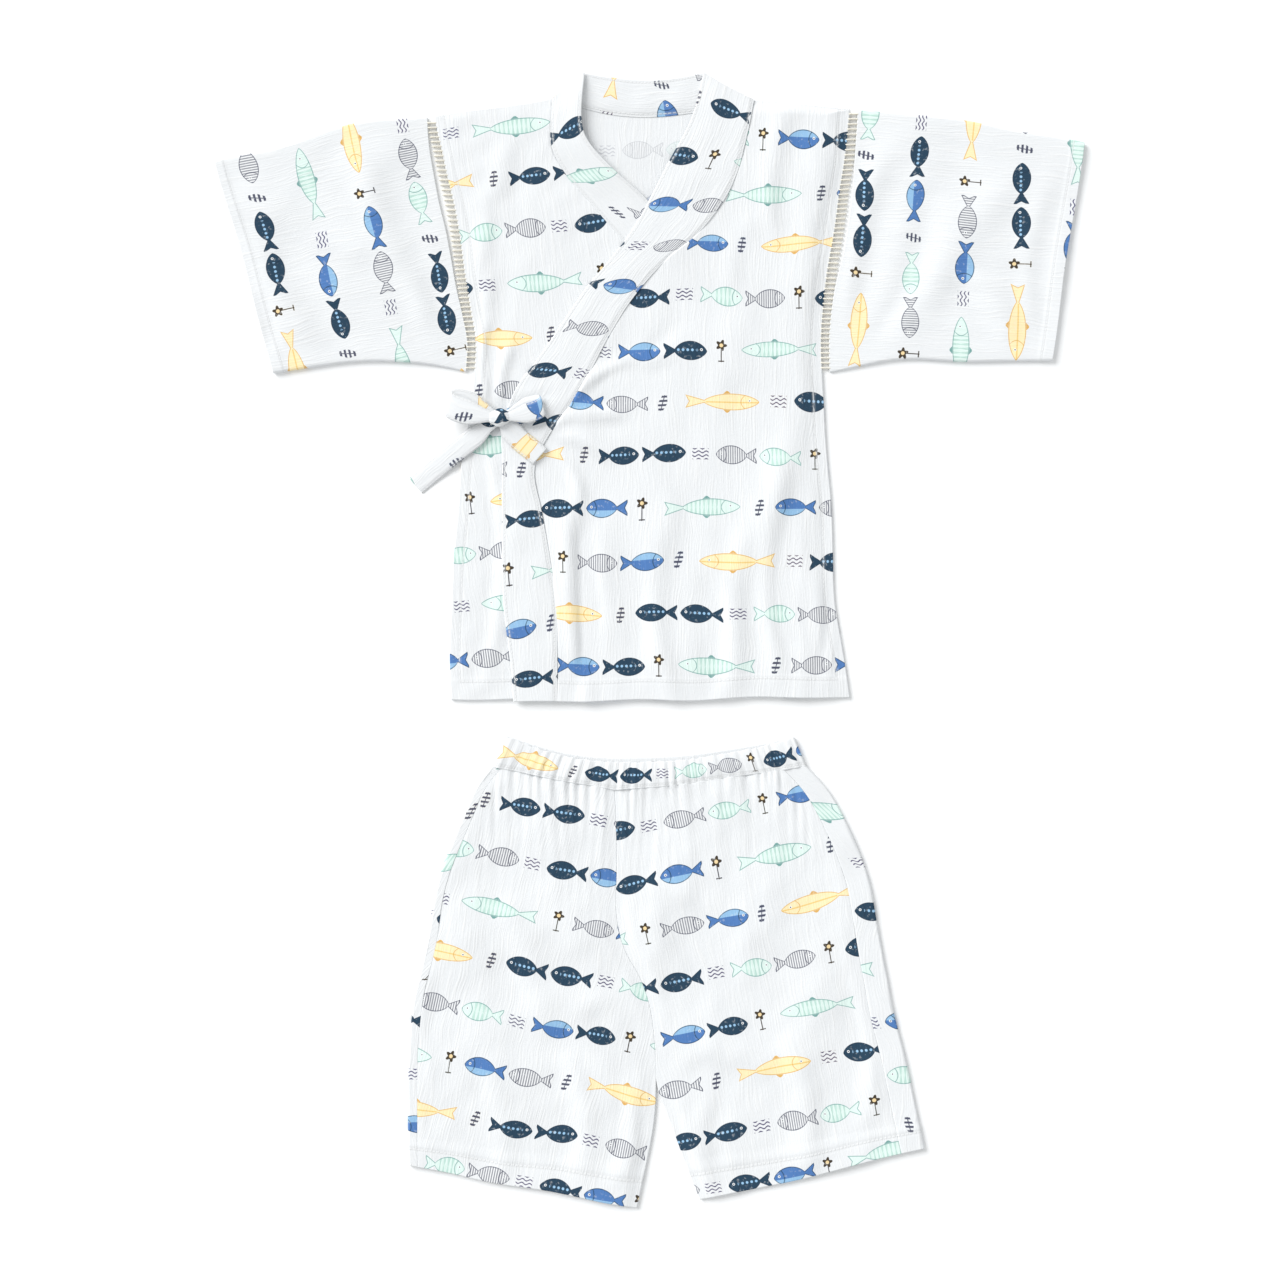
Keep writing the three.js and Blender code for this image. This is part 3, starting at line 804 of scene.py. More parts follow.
def gauze(name, settings, ink_share=1.0):
    """Washed white double gauze: long crinkles along the warp with painted shade in their hollows, a fine
    open weave, a dashed stitch line beside the hem with painted shade in its groove, and the print, paler
    on the wrong side."""
    t = Tree(name)
    s, r = t.map("Grain")
    along, inward = t.map("Hem")
    place = t.vector(s, r)
    sway = t.noise(place, 0.03, 1.0) * 6.0
    streak = t.noise(t.vector(s + sway, r * 0.06), 0.42, 3.0)
    weave = (s * 7.8).sin() * (r * 7.8).sin()
    mottle = t.noise(place, 0.35, 3.0)
    crinkle = abs(streak - 0.5) * 2.0
    from_stitches = abs(inward - settings.stitch_inset)
    thread = t.inside((from_stitches - 0.45).most(along.repeated(3.2) - 1.1), 0.25)
    stitch_dimple_and_shade = t.inside(from_stitches - 1.1, 1.6)
    white = tuple(settings.gauze)
    # Painted shade: shade is a cooler, darker copy of the white, mixed in along the crinkles' hollows, with
    # random mottle on top.
    shade = tuple(c * k for c, k in zip(white, (0.94, 0.955, 0.975)))
    crinkle_shade_and_mottle = (1.0 - crinkle * 1.6).clamped() * 0.7 + (mottle - 0.5) * 0.4
    cloth = t.colour_mix(crinkle_shade_and_mottle, white, shade)
    colour, ink = fish_print(t, s, r)
    grainy = (1.0 - t.inside(mottle - 0.33, 0.12) * 0.25) * ink_share
    cloth = t.colour_mix(ink * grainy, cloth, colour)
    # Painted shade: the cloth is darkened in the groove of the stitch line, which the bump also sinks.
    cloth = t.colour_mix(stitch_dimple_and_shade * 0.22, cloth, tuple(c * 0.72 for c in white))
    cloth = t.colour_mix(thread * 0.6, cloth, white)
    height = crinkle * 0.75 + weave * 0.05 + mottle * 0.25 - stitch_dimple_and_shade * 0.5 + thread * 0.5
    return t.finish(cloth, height, strength=settings.crinkle, distance=0.0009)


def lace_thread(settings):
    """Matt cotton thread, twisted: fine slanting stripes of light and shade."""
    t = Tree("lace_thread")
    s, r = t.map("Grain")
    twist = (s * 3.4 + r * 5.0).sin() * 0.5 + 0.5
    thread = tuple(settings.thread)
    dark = tuple(c * 0.8 for c in thread)
    return t.finish(t.colour_mix(twist, dark, thread), twist, strength=0.4, distance=0.0002)


def material(name):
    """A material made by the cloth operator, by name."""
    return bpy.data.materials[name]


def printed():
    """The right side of the cloth, then its wrong side."""
    return [material("gauze_right_side"), material("gauze_wrong_side")]


def right_side_only():
    """The right side of the cloth, on both sides of a strip that is folded double."""
    return [material("gauze_right_side")] * 2


# ---- Pieces of the jacket ----

def panel(first, second, lift, across, along, side=None, extra=HEM_FOLD):
    """A panel between two edge curves: points, thickness and hem map.

    Middle points are the straight blend of the two edges at the same v, at the height that
    lift gives from the place and the distances to the edges. The cloth is thicker along
    the hem at v = 0, where it is folded, and rounded at its edges. A side that is named,
    "first" or "second", has a row of stitches too."""
    u, v = grid(across, along)
    (ax, ay), (bx, by) = first(v), second(v)
    x, y = lerp(ax, bx, u), lerp(ay, by, u)
    width = np.hypot(bx - ax, by - ay)
    length = abs(np.subtract(*first(np.array([0.0, 1.0]))[1]))
    far = {"first": u * width, "second": (1 - u) * width, "end": (1 - v) * length, "hem": v * length}
    thickness = CLOTH + hem_fold(far["hem"], JACKET_HEM, extra)
    thickness = thickness * rounded(far["hem"], HEM_EDGE)
    for name in ("end", "first", "second"):
        thickness = thickness * rounded(far[name], CUT_EDGE)
    inward = np.minimum(far["hem"], far[side] + 5.5) if side else far["hem"]
    return np.stack([x, y, lift(x, y, far)], -1), thickness, (u * width + far["hem"], inward)


def roll(level, distance, reach):
    """Falls from a layer's level to just above the back layer near an edge."""
    return lerp(EDGE_LEVEL, level, smooth(distance / reach))


def back_panel():
    """The back: flat on the floor, its top edge following the shoulders and the neck, and a
    little uneven where the neck leaves it bare."""
    points, thickness, hem = panel(
        lambda v: edge(UNDER, "side", v),
        lambda v: edge(OVER, "side", v),
        lambda x, y, far: np.full_like(x, BACK_LEVEL),
        110,
        170,
        extra=0.15,
    )
    u, v = grid(110, 170)
    x, y = points[..., 0], points[..., 1]
    left, right = edge(UNDER, "side", np.array([1.0])), edge(OVER, "side", np.array([1.0]))
    top = np.interp(lerp(left[0], right[0], u), BACK_TOP["x"], BACK_TOP["y"])
    y += (top + 1.4 - lerp(left[1], right[1], u)) * smooth((v - 0.8) / 0.2)
    bare = smooth((y - 350) / 25) * smooth((70 - abs(x)) / 20)
    points[..., 2] += bare * (0.35 + 0.25 * undulation(x, y, 30, 11))
    piece = wall("jacket_back_cloth", points, thickness, (x + 31, y + 8), hem)
    sheet(piece, printed()[::-1])


def under_front():
    """The wearer's right front. It lies lower under its band, and its folds are soft where
    the other front covers it."""
    def lift(x, y, far):
        """Falls to the side and the shoulder, and has folds where the cloth shows."""
        base = np.minimum(roll(UNDER_LEVEL, far["first"], 14), roll(UNDER_LEVEL, far["end"], 12))
        shown = smooth((-96 - x) / 20) + smooth((y - 250) / 40) * smooth((-10 - x) / 30)
        fall = smooth(far["first"] / 10)
        tucked = 0.5 * (1 - smooth(far["second"] / (2 * TUCK)))
        return base - tucked + np.clip(shown, 0.12, 1) * fall * limited(relief(UNDER_FOLDS, x, y, 21), -0.6)

    points, thickness, hem = panel(
        lambda v: edge(UNDER, "side", v),
        lambda v: (column(UNDER, "seamX", v) + TUCK, column(UNDER, "seamY", v)),
        lift,
        96,
        180,
        side="first",
    )
    grain = turned(points[..., 0] - 20, points[..., 1] + 17, 7)
    piece = wall("jacket_front_under_cloth", points, thickness, grain, hem)
    sheet(piece, printed(), rests_on=["jacket_back_cloth"])


def over_front():
    """The wearer's left front, on top, with the folds that the tie pulls into it."""
    def lift(x, y, far):
        """Falls to the side and the shoulder, sags at the side, and has folds elsewhere."""
        base = np.minimum(roll(OVER_LEVEL, far["second"], 18), roll(OVER_LEVEL, far["end"], 15))
        fall = smooth(far["second"] / 14) * smooth(far["end"] / 14)
        sag = 0.9 * smooth((x - 118) / 12) * smooth((200 - y) / 40)
        tucked = 0.9 * (1 - smooth(far["first"] / (2 * TUCK)))
        return base - sag * fall - tucked + fall * limited(relief(OVER_FOLDS, x, y, 31, 0.8), -0.7)

    points, thickness, hem = panel(
        lambda v: (column(OVER, "seamX", v) - TUCK, column(OVER, "seamY", v)),
        lambda v: edge(OVER, "side", v),
        lift,
        110,
        190,
        side="second",
    )
    grain = (points[..., 0], points[..., 1])
    piece = wall("jacket_front_over_cloth", points, thickness, grain, hem)
    sheet(piece, printed(), rests_on=["jacket_front_under_cloth"])


def band(name, rows, lift, offset, flip=False):
    """A stretch of collar band from one end of a table to the other: the straight blend of
    its free edge and its seam, folded double, so its section is a rounded bar with a soft
    groove at the seam. Its print's rows run across it."""
    u, v = grid(16, 150)
    (fx, fy), (sx, sy) = edge(rows, "free", v), edge(rows, "seam", v)
    x, y = lerp(fx, sx, u), lerp(fy, sy, u)
    width = np.hypot(sx - fx, sy - fy)
    run = run_along((fx + sx)[:, 0] / 2, (fy + sy)[:, 0] / 2)[:, None] + 0 * u
    z = lift(x, y, u, v) + 0.25 * undulation(x, y, 34, 41) * smooth(u * 4) * smooth((1 - u) * 4)
    thickness = BAND * rounded(u * width, 1.1) * lerp(0.5, 1.0, smooth((1 - u) * width / 3.0))
    thickness = thickness * rounded(v * run.max(), 0.7) * rounded((1 - v) * run.max(), 0.7)
    grain = ((u - 0.5) * width + offset, run + offset * 0.3)
    hem = (run, np.minimum(u, 1 - u) * width + 11.3)
    piece = wall(name, np.stack([x, y, z], -1), thickness, grain, hem, flip=flip)
    sheet(piece, right_side_only())


def over_band_level(x, y, u, v):
    """On top of both fronts; its free edge lies down, it rolls over the shoulder, and it is
    gathered where the tie pulls at it."""
    near_tie = np.exp(-(((x + 100) / 24) ** 2) - ((y - 184) / 20) ** 2)
    gathered = 1.5 * near_tie * np.sin(y * 0.62 + x * 0.3)
    folded = 1.6 * smooth((v - 0.955) / 0.045)
    return OVER_BAND_LEVEL - 0.5 * (1 - smooth(u * 3)) - folded + gathered


def under_band_level(x, y, u, v):
    """On the under front, rising to roll over the shoulder; its free edge stands up there."""
    hidden = 0.5 * (1 - smooth((v - 0.6) / 0.1))
    rise = 1.6 * smooth((v - 0.84) / 0.1) - 0.9 * smooth((v - 0.965) / 0.035)
    stand = 3.4 * (1 - u) ** 1.5 * smooth((v - 0.76) / 0.12) * smooth((1.02 - v) / 0.05)
    return UNDER_BAND_LEVEL - hidden + rise + stand


def neck_band_level(x, y, u, v):
    """Behind the neck, falling to the back at its seam."""
    return NECK_BAND_LEVEL - 0.7 * smooth(u * 3 - 2)


def sleeve(name, rows, side_rows, outward, fold_rows, grain_turn, seed):
    """A flattened tube from the armhole to the cuff, open at both ends. Its armhole end
    follows the body's edge, and its top layer carries the folds."""
    u, v = np.meshgrid(np.linspace(0, 1, 151), crowded(70, 0.8))
    top, bottom = edge(rows, "top", v), edge(rows, "bottom", v)
    width = np.hypot(top[0] - bottom[0], top[1] - bottom[1])
    height = lerp(EDGE_LEVEL, SLEEVE_LEVEL, smooth(v * 3)) - BACK_LEVEL
    across, lift = flat_ring(u, width, height, under=0.44, bend=0.06)
    on_top = lift / height
    share = across / width
    curve = column(side_rows, "sideX", lerp(ARMPIT_SHARE, 1, share)) + outward * LACING
    straight = lerp(rows["bottomX"][0], rows["topX"][0], share)
    x = lerp(bottom[0], top[0], share) + (curve - straight) * (1 - v) ** 2
    y = lerp(bottom[1], top[1], share)
    length = np.hypot(rows["topX"][-1] - rows["topX"][0], rows["topY"][-1] - rows["topY"][0])
    from_cuff = (1 - v) * length
    crown = relief(fold_rows, x, y, seed) * smooth(share * 8) * smooth((1 - share) * 8)
    z = BACK_LEVEL + lift + np.clip(crown, -1.2, 9) * on_top * smooth(v * 6)
    z += hem_fold(from_cuff, JACKET_HEM, 0.135) * (1 - on_top)
    thickness = CLOTH + hem_fold(from_cuff, JACKET_HEM) * (0.25 + 0.75 * on_top)
    thickness = thickness * rounded(from_cuff, HEM_EDGE) * rounded(v * length, CUT_EDGE)
    hem = (np.where(u < 0.47, across, 2 * width - across), from_cuff)
    along_print, across_print = turned(x, y, grain_turn)
    grain = (across_print + 13, 5 - along_print)
    points = np.stack([x, y, z], -1)
    piece = wall(name, points, thickness, grain, hem, closed=True, flip=outward < 0)
    sheet(piece, printed())


def lacing(name, side_rows, outward, level):
    """A ladder of thread across the armhole: at each step along it a bundle of thread, wider
    where it is sewn to the cloth. Each bundle is a small closed tube whose middle is arched
    and whose section is a flat ellipse."""
    x, y = edge(side_rows, "side", lerp(ARMPIT_SHARE, 1, np.linspace(0, 1, 400)))
    run = run_along(x, y)
    steps = np.arange(LACING_STEP * 0.7, run[-1] - LACING_STEP * 0.4, LACING_STEP)
    centres = [np.interp(steps, run, x), np.interp(steps, run, y), np.full_like(steps, level)]
    a, b = np.meshgrid(np.linspace(0, 2 * np.pi, 9)[:-1], np.linspace(0, 1, 9))
    from_middle = abs(2 * b - 1)
    closing = np.sqrt(np.clip(1 - from_middle**6, 0.02, 1))
    bar_x = outward * lerp(-1.6, LACING + 1.6, b)
    bar_y = np.cos(a) * (0.72 + 0.5 * from_middle**2) * closing * 0.7
    bar_z = np.sin(a) * 0.55 * closing + 0.35 * (1 - from_middle**2) + 0.15
    bars = np.stack(centres, -1)[:, None, None] + np.stack([bar_x, bar_y, bar_z], -1)
    points = laid_by_hand(bars)
    count, rows, columns = points.shape[:3]
    vertices = points.reshape(-1, 3) * MM
    j, i = (index.ravel() for index in np.mgrid[0 : rows - 1, 0:columns])
    after = (i + 1) % columns
    row, above = j * columns, (j + 1) * columns
    quad = np.stack([row + i, row + after, above + after, above + i], 1)
    near = np.arange(columns)[::-1]
    far = near[::-1] + (rows - 1) * columns
    if outward > 0:
        quad, near, far = quad[:, ::-1], near[::-1], far[::-1]
    quads = (np.arange(count)[:, None, None] * rows * columns + quad).reshape(-1, 4).tolist()
    caps = [(k * rows * columns + end).tolist() for k in range(count) for end in (near, far)]
    mesh = bpy.data.meshes.new(name)
    mesh.from_pydata(vertices.tolist(), [], quads + caps)
    mesh.uv_layers.new(name="Grain")
    index = np.zeros(len(mesh.loops), int)
    mesh.loops.foreach_get("vertex_index", index)
    mesh.uv_layers["Grain"].data.foreach_set("uv", vertices[index][:, :2].ravel())
    mesh.polygons.foreach_set("use_smooth", np.ones(len(mesh.polygons), bool))
    mesh.update()
    settle(linked(name, mesh), [material("lace_thread")])


# ---- Tie ----

def tape(name, x, y, z, width, seed, tilt=None):
    """A tape along a middle line: its width lies across the line in plan, or across the
    direction that tilt gives, its section bows up a little, and its grain runs along it."""
    u, _ = np.meshgrid(np.linspace(0, 1, 13), x)
    dx, dy = tilt or (np.gradient(x), np.gradient(y))
    norm = np.hypot(dx, dy)
    side_x, side_y = (dy / norm)[:, None], (-dx / norm)[:, None]
    run = run_along(x, y, z)[:, None] + 0 * u
    offset = (u - 0.5) * width[:, None]
    arch = 0.5 * (1 - (2 * u - 1) ** 2)
    points = np.stack([x[:, None] + side_x * offset, y[:, None] + side_y * offset, z[:, None] + arch], -1)
    from_side = (0.5 - abs(u - 0.5)) * TAPE_WIDTH
    thickness = TAPE * rounded(from_side, 0.5) * rounded(run, 0.5) * rounded(run.max() - run, 0.5)
    grain = ((u - 0.5) * TAPE_WIDTH + 30 * seed, run + 17.0 * seed)
    piece = wall(name, points, thickness, grain, (run, from_side + 12.5))
    sheet(piece, right_side_only())


def tail(name, rows, seed):
    """One hanging end of the tie, pinched where it leaves the knot."""
    v = np.linspace(0, 1, 60)
    x, y, z = (column(rows, axis, v) for axis in "xyz")
    tape(name, x, y, z, TAPE_WIDTH * lerp(0.5, 1, smooth(v * 3.5)), seed)


def loop(name, angle, fan, reach, width, seed):
    """One loop of the bow: out from the knot below and back above, fanned apart a little.

    In polar form round the knot, the distance is the reach times a rounded sine of v, the
    angle turns by the fan, and the height rises in a soft step."""
    v = np.linspace(0, 1, 90)
    start = 3.5
    distance = start + (reach - start) * np.sin(np.pi * v) ** 0.62
    bearing = np.radians(angle + fan * (v - 0.5))
    x, y = KNOT[0] + distance * np.cos(bearing), KNOT[1] + distance * np.sin(bearing)
    z = lerp(7.9, 12.0, smooth(v)) + 0.8 * np.sin(np.pi * v)
    spread = width * lerp(0.4, 1, smooth((distance - start) / (reach * 0.6)))
    outward = (np.cos(np.radians(angle)) + 0 * v, np.sin(np.radians(angle)) + 0 * v)
    tape(name, x, y, z, spread, seed, tilt=outward)


def knot():
    """The knot: a small rounded bundle with soft pleats round it, closed at its poles."""
    u, v = np.meshgrid(np.linspace(0, 2 * np.pi, 49), np.linspace(0.02, np.pi - 0.02, 31))
    swell = 1 + 0.06 * np.sin(5 * v + 1.2 * np.sin(u)) + 0.03 * np.sin(9 * u)
    x = KNOT[0] + 7.6 * np.cos(v) * swell
    y = KNOT[1] + 6.4 * np.sin(v) ** 0.8 * np.cos(u) * swell
    z = 11.2 + 3.4 * np.sin(v) ** 0.8 * np.sin(u) * swell
    points = np.stack([x, y, z], -1)
    grain = (u * 6 + 44, v * 7 + 12)
    thickness = np.full_like(u, TAPE)
    piece = wall("bow_knot_cloth", points, thickness, grain, (u * 0, u * 0), closed=True, flip=True)
    sheet(piece, right_side_only())


# ---- Shorts ----

def gathers(x, y, seed=5):
    """Uneven gathers along the elastic: two sets of waves across the waist, whose spacing
    and height wander."""
    phase = x * 0.55 + 2.6 * np.sin(x * 0.071 + seed) + 1.3 * np.sin(x * 0.173 + 2 * seed) + y * 0.03
    fine = np.sin(x * 0.93 + 2.2 * np.sin(x * 0.11 + 3 * seed) - y * 0.05)
    return np.sin(phase) * (0.65 + 0.35 * np.sin(x * 0.13 + seed)) + 0.45 * fine


def leg(side, rows, outward, wrap, grain_turn, seed):
    """One leg: the back cloth on the floor, round the outer fold and a little way onto the
    top, and the front over it from there to the inner edge."""
    def place(v, distance):
        """The place at a distance from the outer edge towards the inner, and their width."""
        outer, inner = edge(rows, "outer", v), edge(rows, "inner", v)
        width = np.hypot(inner[0] - outer[0], inner[1] - outer[1])
        share = distance / width
        return lerp(outer[0], inner[0], share), lerp(outer[1], inner[1], share), width

    def ends(v):
        """The rounding of the hem and of the edge at the waist."""
        return rounded((1 - v) * LEG_LENGTH, HEM_EDGE) * rounded(v * LEG_LENGTH, CUT_EDGE)

    def cloth(name, x, y, z, thickness, grain, hem, rests_on=()):
        """Makes one layer of the leg, and gives its name back."""
        points = np.stack([x, y, z], -1)
        piece = wall(name, points, thickness, grain, hem, flip=outward < 0)
        sheet(piece, printed(), rests_on=rests_on)
        return name

    # The back: w runs from the inner edge to the fold, round it, and to the end of the wrap.
    fold, past_fold = 0.72, 0.82
    radius = (SHORTS_LEVEL - BACK_LEVEL) / 2
    w, v = np.meshgrid(np.linspace(0, 1, 101), crowded(130, 0.8))
    width = place(v, 0.0)[2]
    turn = (w - fold) / (past_fold - fold) * np.pi
    runs = [w < fold, w < past_fold]
    distance = np.select(
        runs,
        [lerp(width - 0.3, radius, w / fold), radius - radius * np.sin(turn)],
        lerp(radius, wrap, (w - past_fold) / (1 - past_fold)),
    )
    z = np.select(runs, [BACK_LEVEL + 0 * w, BACK_LEVEL + radius - radius * np.cos(turn)], SHORTS_LEVEL)
    x, y, _ = place(v, distance)
    z = z + np.where(w > past_fold, 0.25 * undulation(x, y, 40, seed + 3), 0)
    from_hem = (1 - v) * LEG_LENGTH
    thickness = (CLOTH + hem_fold(from_hem, SHORTS_HEM) * smooth(turn / np.pi)) * ends(v)
    thickness = thickness * lerp(0.6, 1, rounded((1 - w) * 60, 0.5)) * rounded(w * 200, CUT_EDGE)
    run = np.where(w < fold, width - distance, width + distance)
    grain = (outward * run + 23, y + 31)
    back = cloth(f"shorts_back_{side}_cloth", x, y, z, thickness, grain, (run, from_hem))

    # The front: gathers that die out below the waist, and the folds of a worn pair.
    u, v = grid(100, 130)
    width = place(v, 0.0)[2]
    distance = lerp(wrap + 0.05, width - 0.02, u)
    x, y, _ = place(v, distance)
    from_hem, inner, outer = (1 - v) * LEG_LENGTH, width - distance, distance - wrap
    flat = smooth(inner / 14)
    fade = np.exp(-v / 0.11)
    wave = (1.2 * gathers(x, y) + 0.8 * undulation(x, 0.25 * y, 34, seed + 7)) * fade
    shape = limited(relief(SHORTS_FOLDS, x, y, seed, 0.8), -1.2) * smooth(v * 10 + 0.3)
    z = lerp(EDGE_LEVEL, SHORTS_LEVEL, flat) + flat * smooth(outer / 12) * (wave + shape)
    z = z - 0.12 * (1 - smooth(outer / 3))
    thickness = (CLOTH + hem_fold(from_hem, SHORTS_HEM)) * ends(v)
    thickness = thickness * rounded(inner, CUT_EDGE) * lerp(0.6, 1, rounded(outer, 0.5))
    grain = turned(x + 11, y + 44, grain_turn)
    cloth(f"shorts_front_{side}_cloth", x, y, z, thickness, grain, (distance, from_hem), [back])


def waistband():
    """The gathered casing: a flattened ring whose top layer carries the elastic's gathers
    and whose seam edge follows the legs."""
    u, v = np.meshgrid(np.linspace(0, 1, 421), crowded(20, 0.7))
    height = SHORTS_LEVEL - BACK_LEVEL
    across, lift = flat_ring(u, WAIST_SPAN, height, under=0.3, bend=0.02)
    t, on_top = across / WAIST_SPAN, lift / height
    corners = ((LEG_LEFT, "outer"), (LEG_LEFT, "inner"), (LEG_RIGHT, "outer"))
    seam_x, seam_y = ([rows[name + axis][0] for rows, name in corners] for axis in "XY")
    low_x = lerp(seam_x[0], seam_x[-1], t)
    low_y = np.interp(low_x, seam_x, seam_y) - 0.3
    high_x = lerp(WAIST["x"][0], WAIST["x"][-1], t)
    shares = np.linspace(0, 1, 101)
    high_y = column(WAIST, "y", np.interp(high_x, column(WAIST, "x", shares), shares))
    x, y = lerp(low_x, high_x, v), lerp(low_y, high_y, v)
    bulge = 0.9 * np.sin(np.pi * np.clip(v * 1.05, 0, 1)) ** 0.7
    small = 0.35 * undulation(low_x, 0.6 * low_y + 8 * v, 17, 91)
    wave = (0.6 * gathers(low_x, low_y) + small) * (1 - 0.3 * v)
    z = BACK_LEVEL + 0.15 + lift + on_top * (wave + bulge)
    y = y + (0.5 * gathers(low_x, low_y, 9) - 3.6 * np.sin(np.pi * t) ** 0.6) * v * on_top
    thickness = (CLOTH + 0.4) * rounded(v * WAIST_DEPTH, 0.7) * rounded((1 - v) * WAIST_DEPTH, 0.9)
    grain = (low_x * WAIST_EASE + 57, 21 + (v - 0.5) * WAIST_DEPTH)
    hem = (x * WAIST_EASE, v * WAIST_DEPTH + 11.0)
    points = np.stack([x, y, z], -1)
    piece = wall("waistband_cloth", points, thickness, grain, hem, closed=True, flip=True)
    sheet(piece, printed())


# ---- Settings, operators and panel ----

class JinbeiCloth(bpy.types.PropertyGroup):
    """The cloth's colour and relief."""

    gauze: bpy.props.FloatVectorProperty(
        name="Gauze", description="Colour of the unprinted cloth", subtype="COLOR",
        size=3, min=0, max=1, default=(0.812, 0.82, 0.824),
    )
    thread: bpy.props.FloatVectorProperty(
        name="Lace thread", description="Colour of the lacing at the armholes", subtype="COLOR",
        size=3, min=0, max=1, default=(0.74, 0.69, 0.59),
    )
    crinkle: bpy.props.FloatProperty(
        name="Crinkle", description="Depth of the cloth's crinkles", min=0, max=1, default=0.5,
    )
    stitch_inset: bpy.props.FloatProperty(
        name="Stitch inset", description="Distance of the stitch line from a hem, in millimetres",
        min=2, max=40, default=13.5,
    )
    wrong_side_ink: bpy.props.FloatProperty(
        name="Ink on the wrong side", description="How much of the print shows through",
        min=0, max=1, default=0.28, subtype="FACTOR",
    )


class JinbeiStage(bpy.types.PropertyGroup):
    """The camera and the light."""

    frame_width: bpy.props.FloatProperty(
        name="Frame width", description="Width of the floor that the picture takes in",
        unit="LENGTH", min=0.2, default=1.024,
    )
    floor_reach: bpy.props.FloatProperty(
        name="Floor reach", description="Distance from the middle of the floor to its sides",
        unit="LENGTH", min=1, default=25,
    )
    centre_x: bpy.props.FloatProperty(
        name="Centre", description="Where the camera looks, along X", unit="LENGTH", default=-0.008,
    )
    key_strength: bpy.props.FloatProperty(
        name="Key light", description="Strength of the large soft light", min=0, default=2.75,
    )
    key_softness: bpy.props.FloatProperty(
        name="Key softness", description="How wide the key light looks from the floor, in degrees",
        min=0, max=180, default=36,
    )
    sky: bpy.props.FloatProperty(
        name="Fill", description="Strength of the light all round", min=0, default=0.71,
    )


class JINBEI_OT_cloth(bpy.types.Operator):
    """Make the printed gauze and the lace thread"""

    bl_idname = "jinbei.cloth"
    bl_label = "Cloth"

    def execute(self, context):
        settings = context.scene.jinbei_cloth
        gauze("gauze_right_side", settings)
        gauze("gauze_wrong_side", settings, ink_share=settings.wrong_side_ink)
        lace_thread(settings)
        return {"FINISHED"}


class JINBEI_OT_jacket(bpy.types.Operator):
    """Make the jacket's back and both fronts"""

    bl_idname = "jinbei.jacket"
    bl_label = "Back and fronts"

    def execute(self, context):
        back_panel()
        under_front()
        over_front()
        return {"FINISHED"}


class JINBEI_OT_collar(bpy.types.Operator):
    """Make the three stretches of the collar band"""

    bl_idname = "jinbei.collar"
    bl_label = "Collar band"

    def execute(self, context):
        band("collar_over_cloth", OVER, over_band_level, 8)
        band("collar_under_cloth", UNDER, under_band_level, 51, flip=True)
        band("collar_neck_cloth", NECK_BAND, neck_band_level, 97)
        return {"FINISHED"}


class JINBEI_OT_sleeves(bpy.types.Operator):
    """Make the sleeves and the open lacing that joins them to the body"""

    bl_idname = "jinbei.sleeves"
    bl_label = "Sleeves and lacing"

    def execute(self, context):
        sleeve("sleeve_left_cloth", SLEEVE_LEFT, UNDER, -1, SLEEVE_LEFT_FOLDS, 13, 51)
        sleeve("sleeve_right_cloth", SLEEVE_RIGHT, OVER, 1, SLEEVE_RIGHT_FOLDS, -3, 61)
        for side, rows, outward in (("left", UNDER, -1), ("right", OVER, 1)):
            for layer, level in (("front", EDGE_LEVEL), ("back", BACK_LEVEL)):
                lacing(f"lacing_{side}_{layer}_thread", rows, outward, level)
        return {"FINISHED"}


class JINBEI_OT_tie(bpy.types.Operator):
    """Make the bow at the side"""

    bl_idname = "jinbei.tie"
    bl_label = "Tie"

    def execute(self, context):
        tail("bow_tail_left_tape", TAIL_LEFT, 1)
        tail("bow_tail_right_tape", TAIL_RIGHT, 2)
        loop("bow_loop_left_tape", 165, 22, 41, 20, 3)
        loop("bow_loop_right_tape", 13, -20, 34, 16, 4)
        knot()
        return {"FINISHED"}


class JINBEI_OT_shorts(bpy.types.Operator):
    """Make the shorts' legs and waistband"""

    bl_idname = "jinbei.shorts"
    bl_label = "Shorts"

    def execute(self, context):
        leg("left", LEG_LEFT, -1, SIDE_WRAP_LEFT, -11, 71)
        leg("right", LEG_RIGHT, 1, SIDE_WRAP_RIGHT, 11, 81)
        waistband()
        return {"FINISHED"}


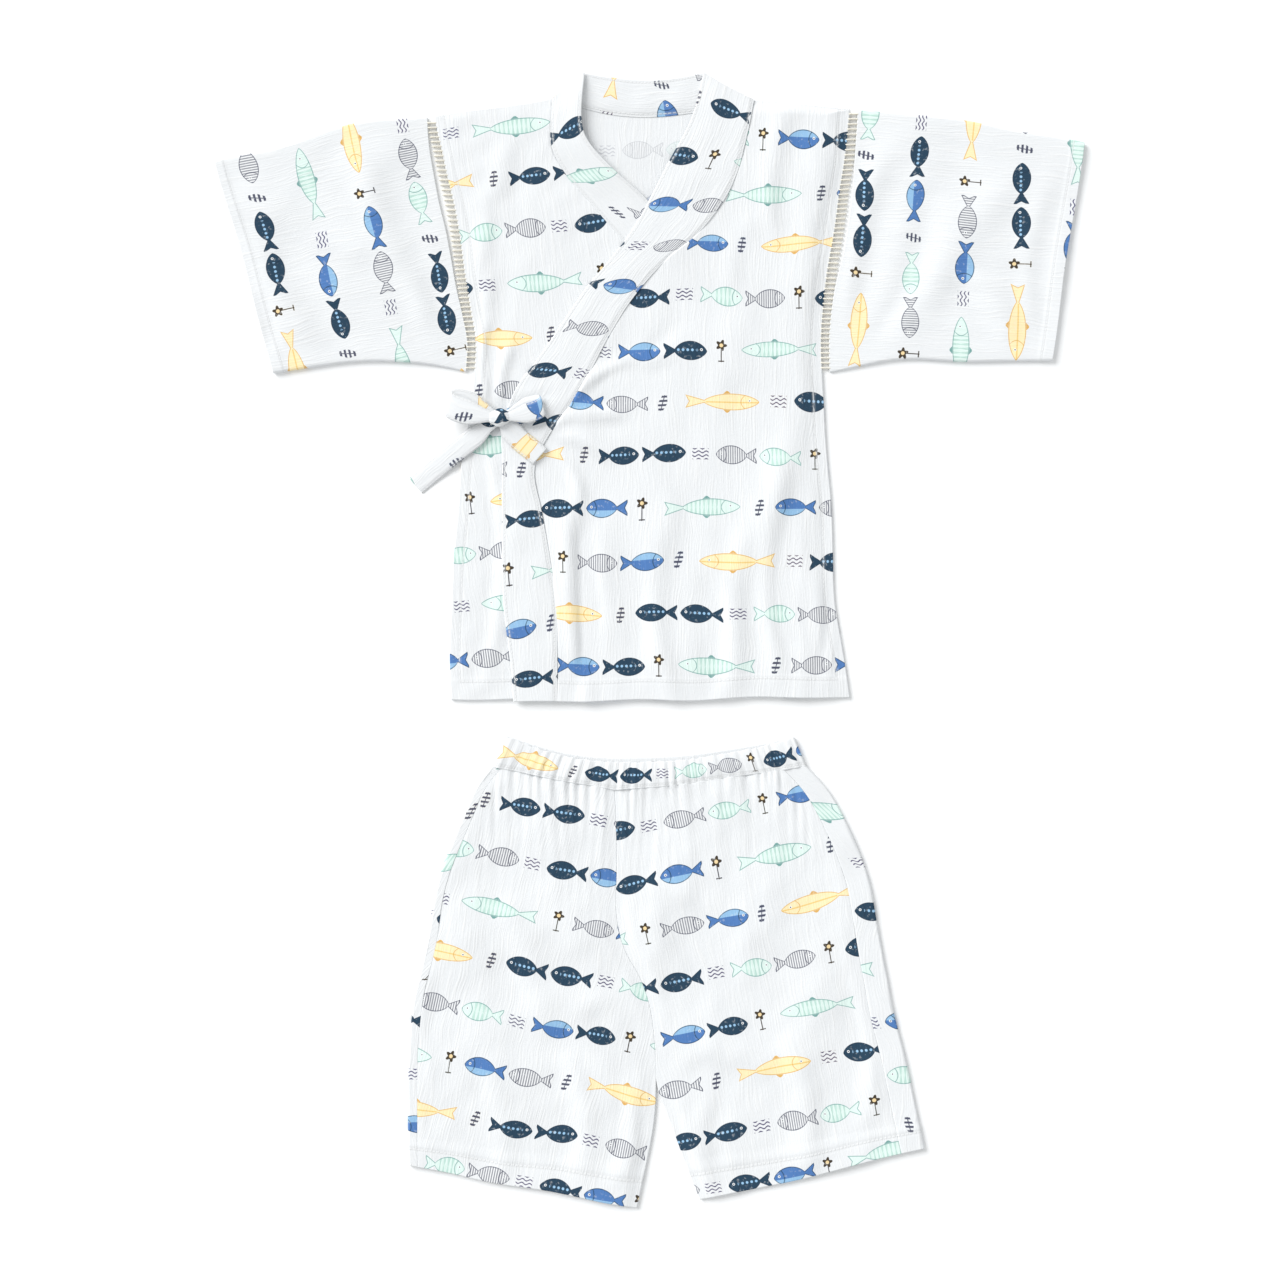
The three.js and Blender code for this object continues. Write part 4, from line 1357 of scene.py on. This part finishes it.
class JINBEI_OT_stage(bpy.types.Operator):
    """Make the floor, the light and the camera above the set"""

    bl_idname = "jinbei.stage"
    bl_label = "Stage"

    def execute(self, context):
        stage = context.scene.jinbei_stage
        t = Tree("floor_white", roughness=1.0)
        t.finish((0.93, 0.935, 0.94))
        mesh = bpy.data.meshes.new("floor")
        reach = stage.floor_reach
        corners = [(-reach, -reach, 0), (reach, -reach, 0), (reach, reach, 0), (-reach, reach, 0)]
        mesh.from_pydata(corners, [], [(0, 1, 2, 3)])
        mesh.materials.append(t.material)
        linked("floor", mesh)

        light = bpy.data.lights.new("key", "SUN")
        light.angle = np.radians(stage.key_softness)
        light.energy = stage.key_strength
        key = linked("key", light)
        key.location = (-1.5, 1.25, 1.25)
        key.rotation_euler = key.location.to_track_quat("Z", "Y").to_euler()

        world = bpy.data.worlds.new("studio")
        world.use_nodes = True
        background = world.node_tree.nodes["Background"]
        background.inputs["Color"].default_value = (0.985, 1.0, 1.005, 1)
        background.inputs["Strength"].default_value = stage.sky
        context.scene.world = world

        lens = bpy.data.cameras.new("camera")
        lens.lens, lens.sensor_width = 70, 36
        camera = linked("camera", lens)
        camera.location = (stage.centre_x, 0, stage.frame_width * lens.lens / lens.sensor_width)
        context.scene.camera = camera
        context.scene.view_settings.view_transform = "Standard"
        return {"FINISHED"}


class JINBEI_PT_panel(bpy.types.Panel):
    """Lists the sizes, the colours and the pieces"""

    bl_idname = "JINBEI_PT_panel"
    bl_label = "Jinbei set"
    bl_space_type = "VIEW_3D"
    bl_region_type = "UI"
    bl_category = "Jinbei"

    def draw(self, context):
        for group in (context.scene.jinbei_cloth, context.scene.jinbei_stage):
            for name in group.__annotations__:
                self.layout.prop(group, name)
        for operator in OPERATORS:
            self.layout.operator(operator.bl_idname)


OPERATORS = (
    JINBEI_OT_cloth,
    JINBEI_OT_jacket,
    JINBEI_OT_collar,
    JINBEI_OT_sleeves,
    JINBEI_OT_tie,
    JINBEI_OT_shorts,
    JINBEI_OT_stage,
)
CLASSES = (JinbeiCloth, JinbeiStage, *OPERATORS, JINBEI_PT_panel)


def register():
    """Registers the classes and hangs both groups of settings on the scene."""
    for cls in CLASSES:
        bpy.utils.register_class(cls)
    bpy.types.Scene.jinbei_cloth = bpy.props.PointerProperty(type=JinbeiCloth)
    bpy.types.Scene.jinbei_stage = bpy.props.PointerProperty(type=JinbeiStage)


def unregister():
    """Undoes what register did, in reverse."""
    del bpy.types.Scene.jinbei_stage
    del bpy.types.Scene.jinbei_cloth
    for cls in reversed(CLASSES):
        bpy.utils.unregister_class(cls)


def main():
    register()
    bpy.ops.jinbei.cloth()
    bpy.ops.jinbei.jacket()
    bpy.ops.jinbei.collar()
    bpy.ops.jinbei.sleeves()
    bpy.ops.jinbei.tie()
    bpy.ops.jinbei.shorts()
    bpy.ops.jinbei.stage()


if __name__ == "__main__":
    main()
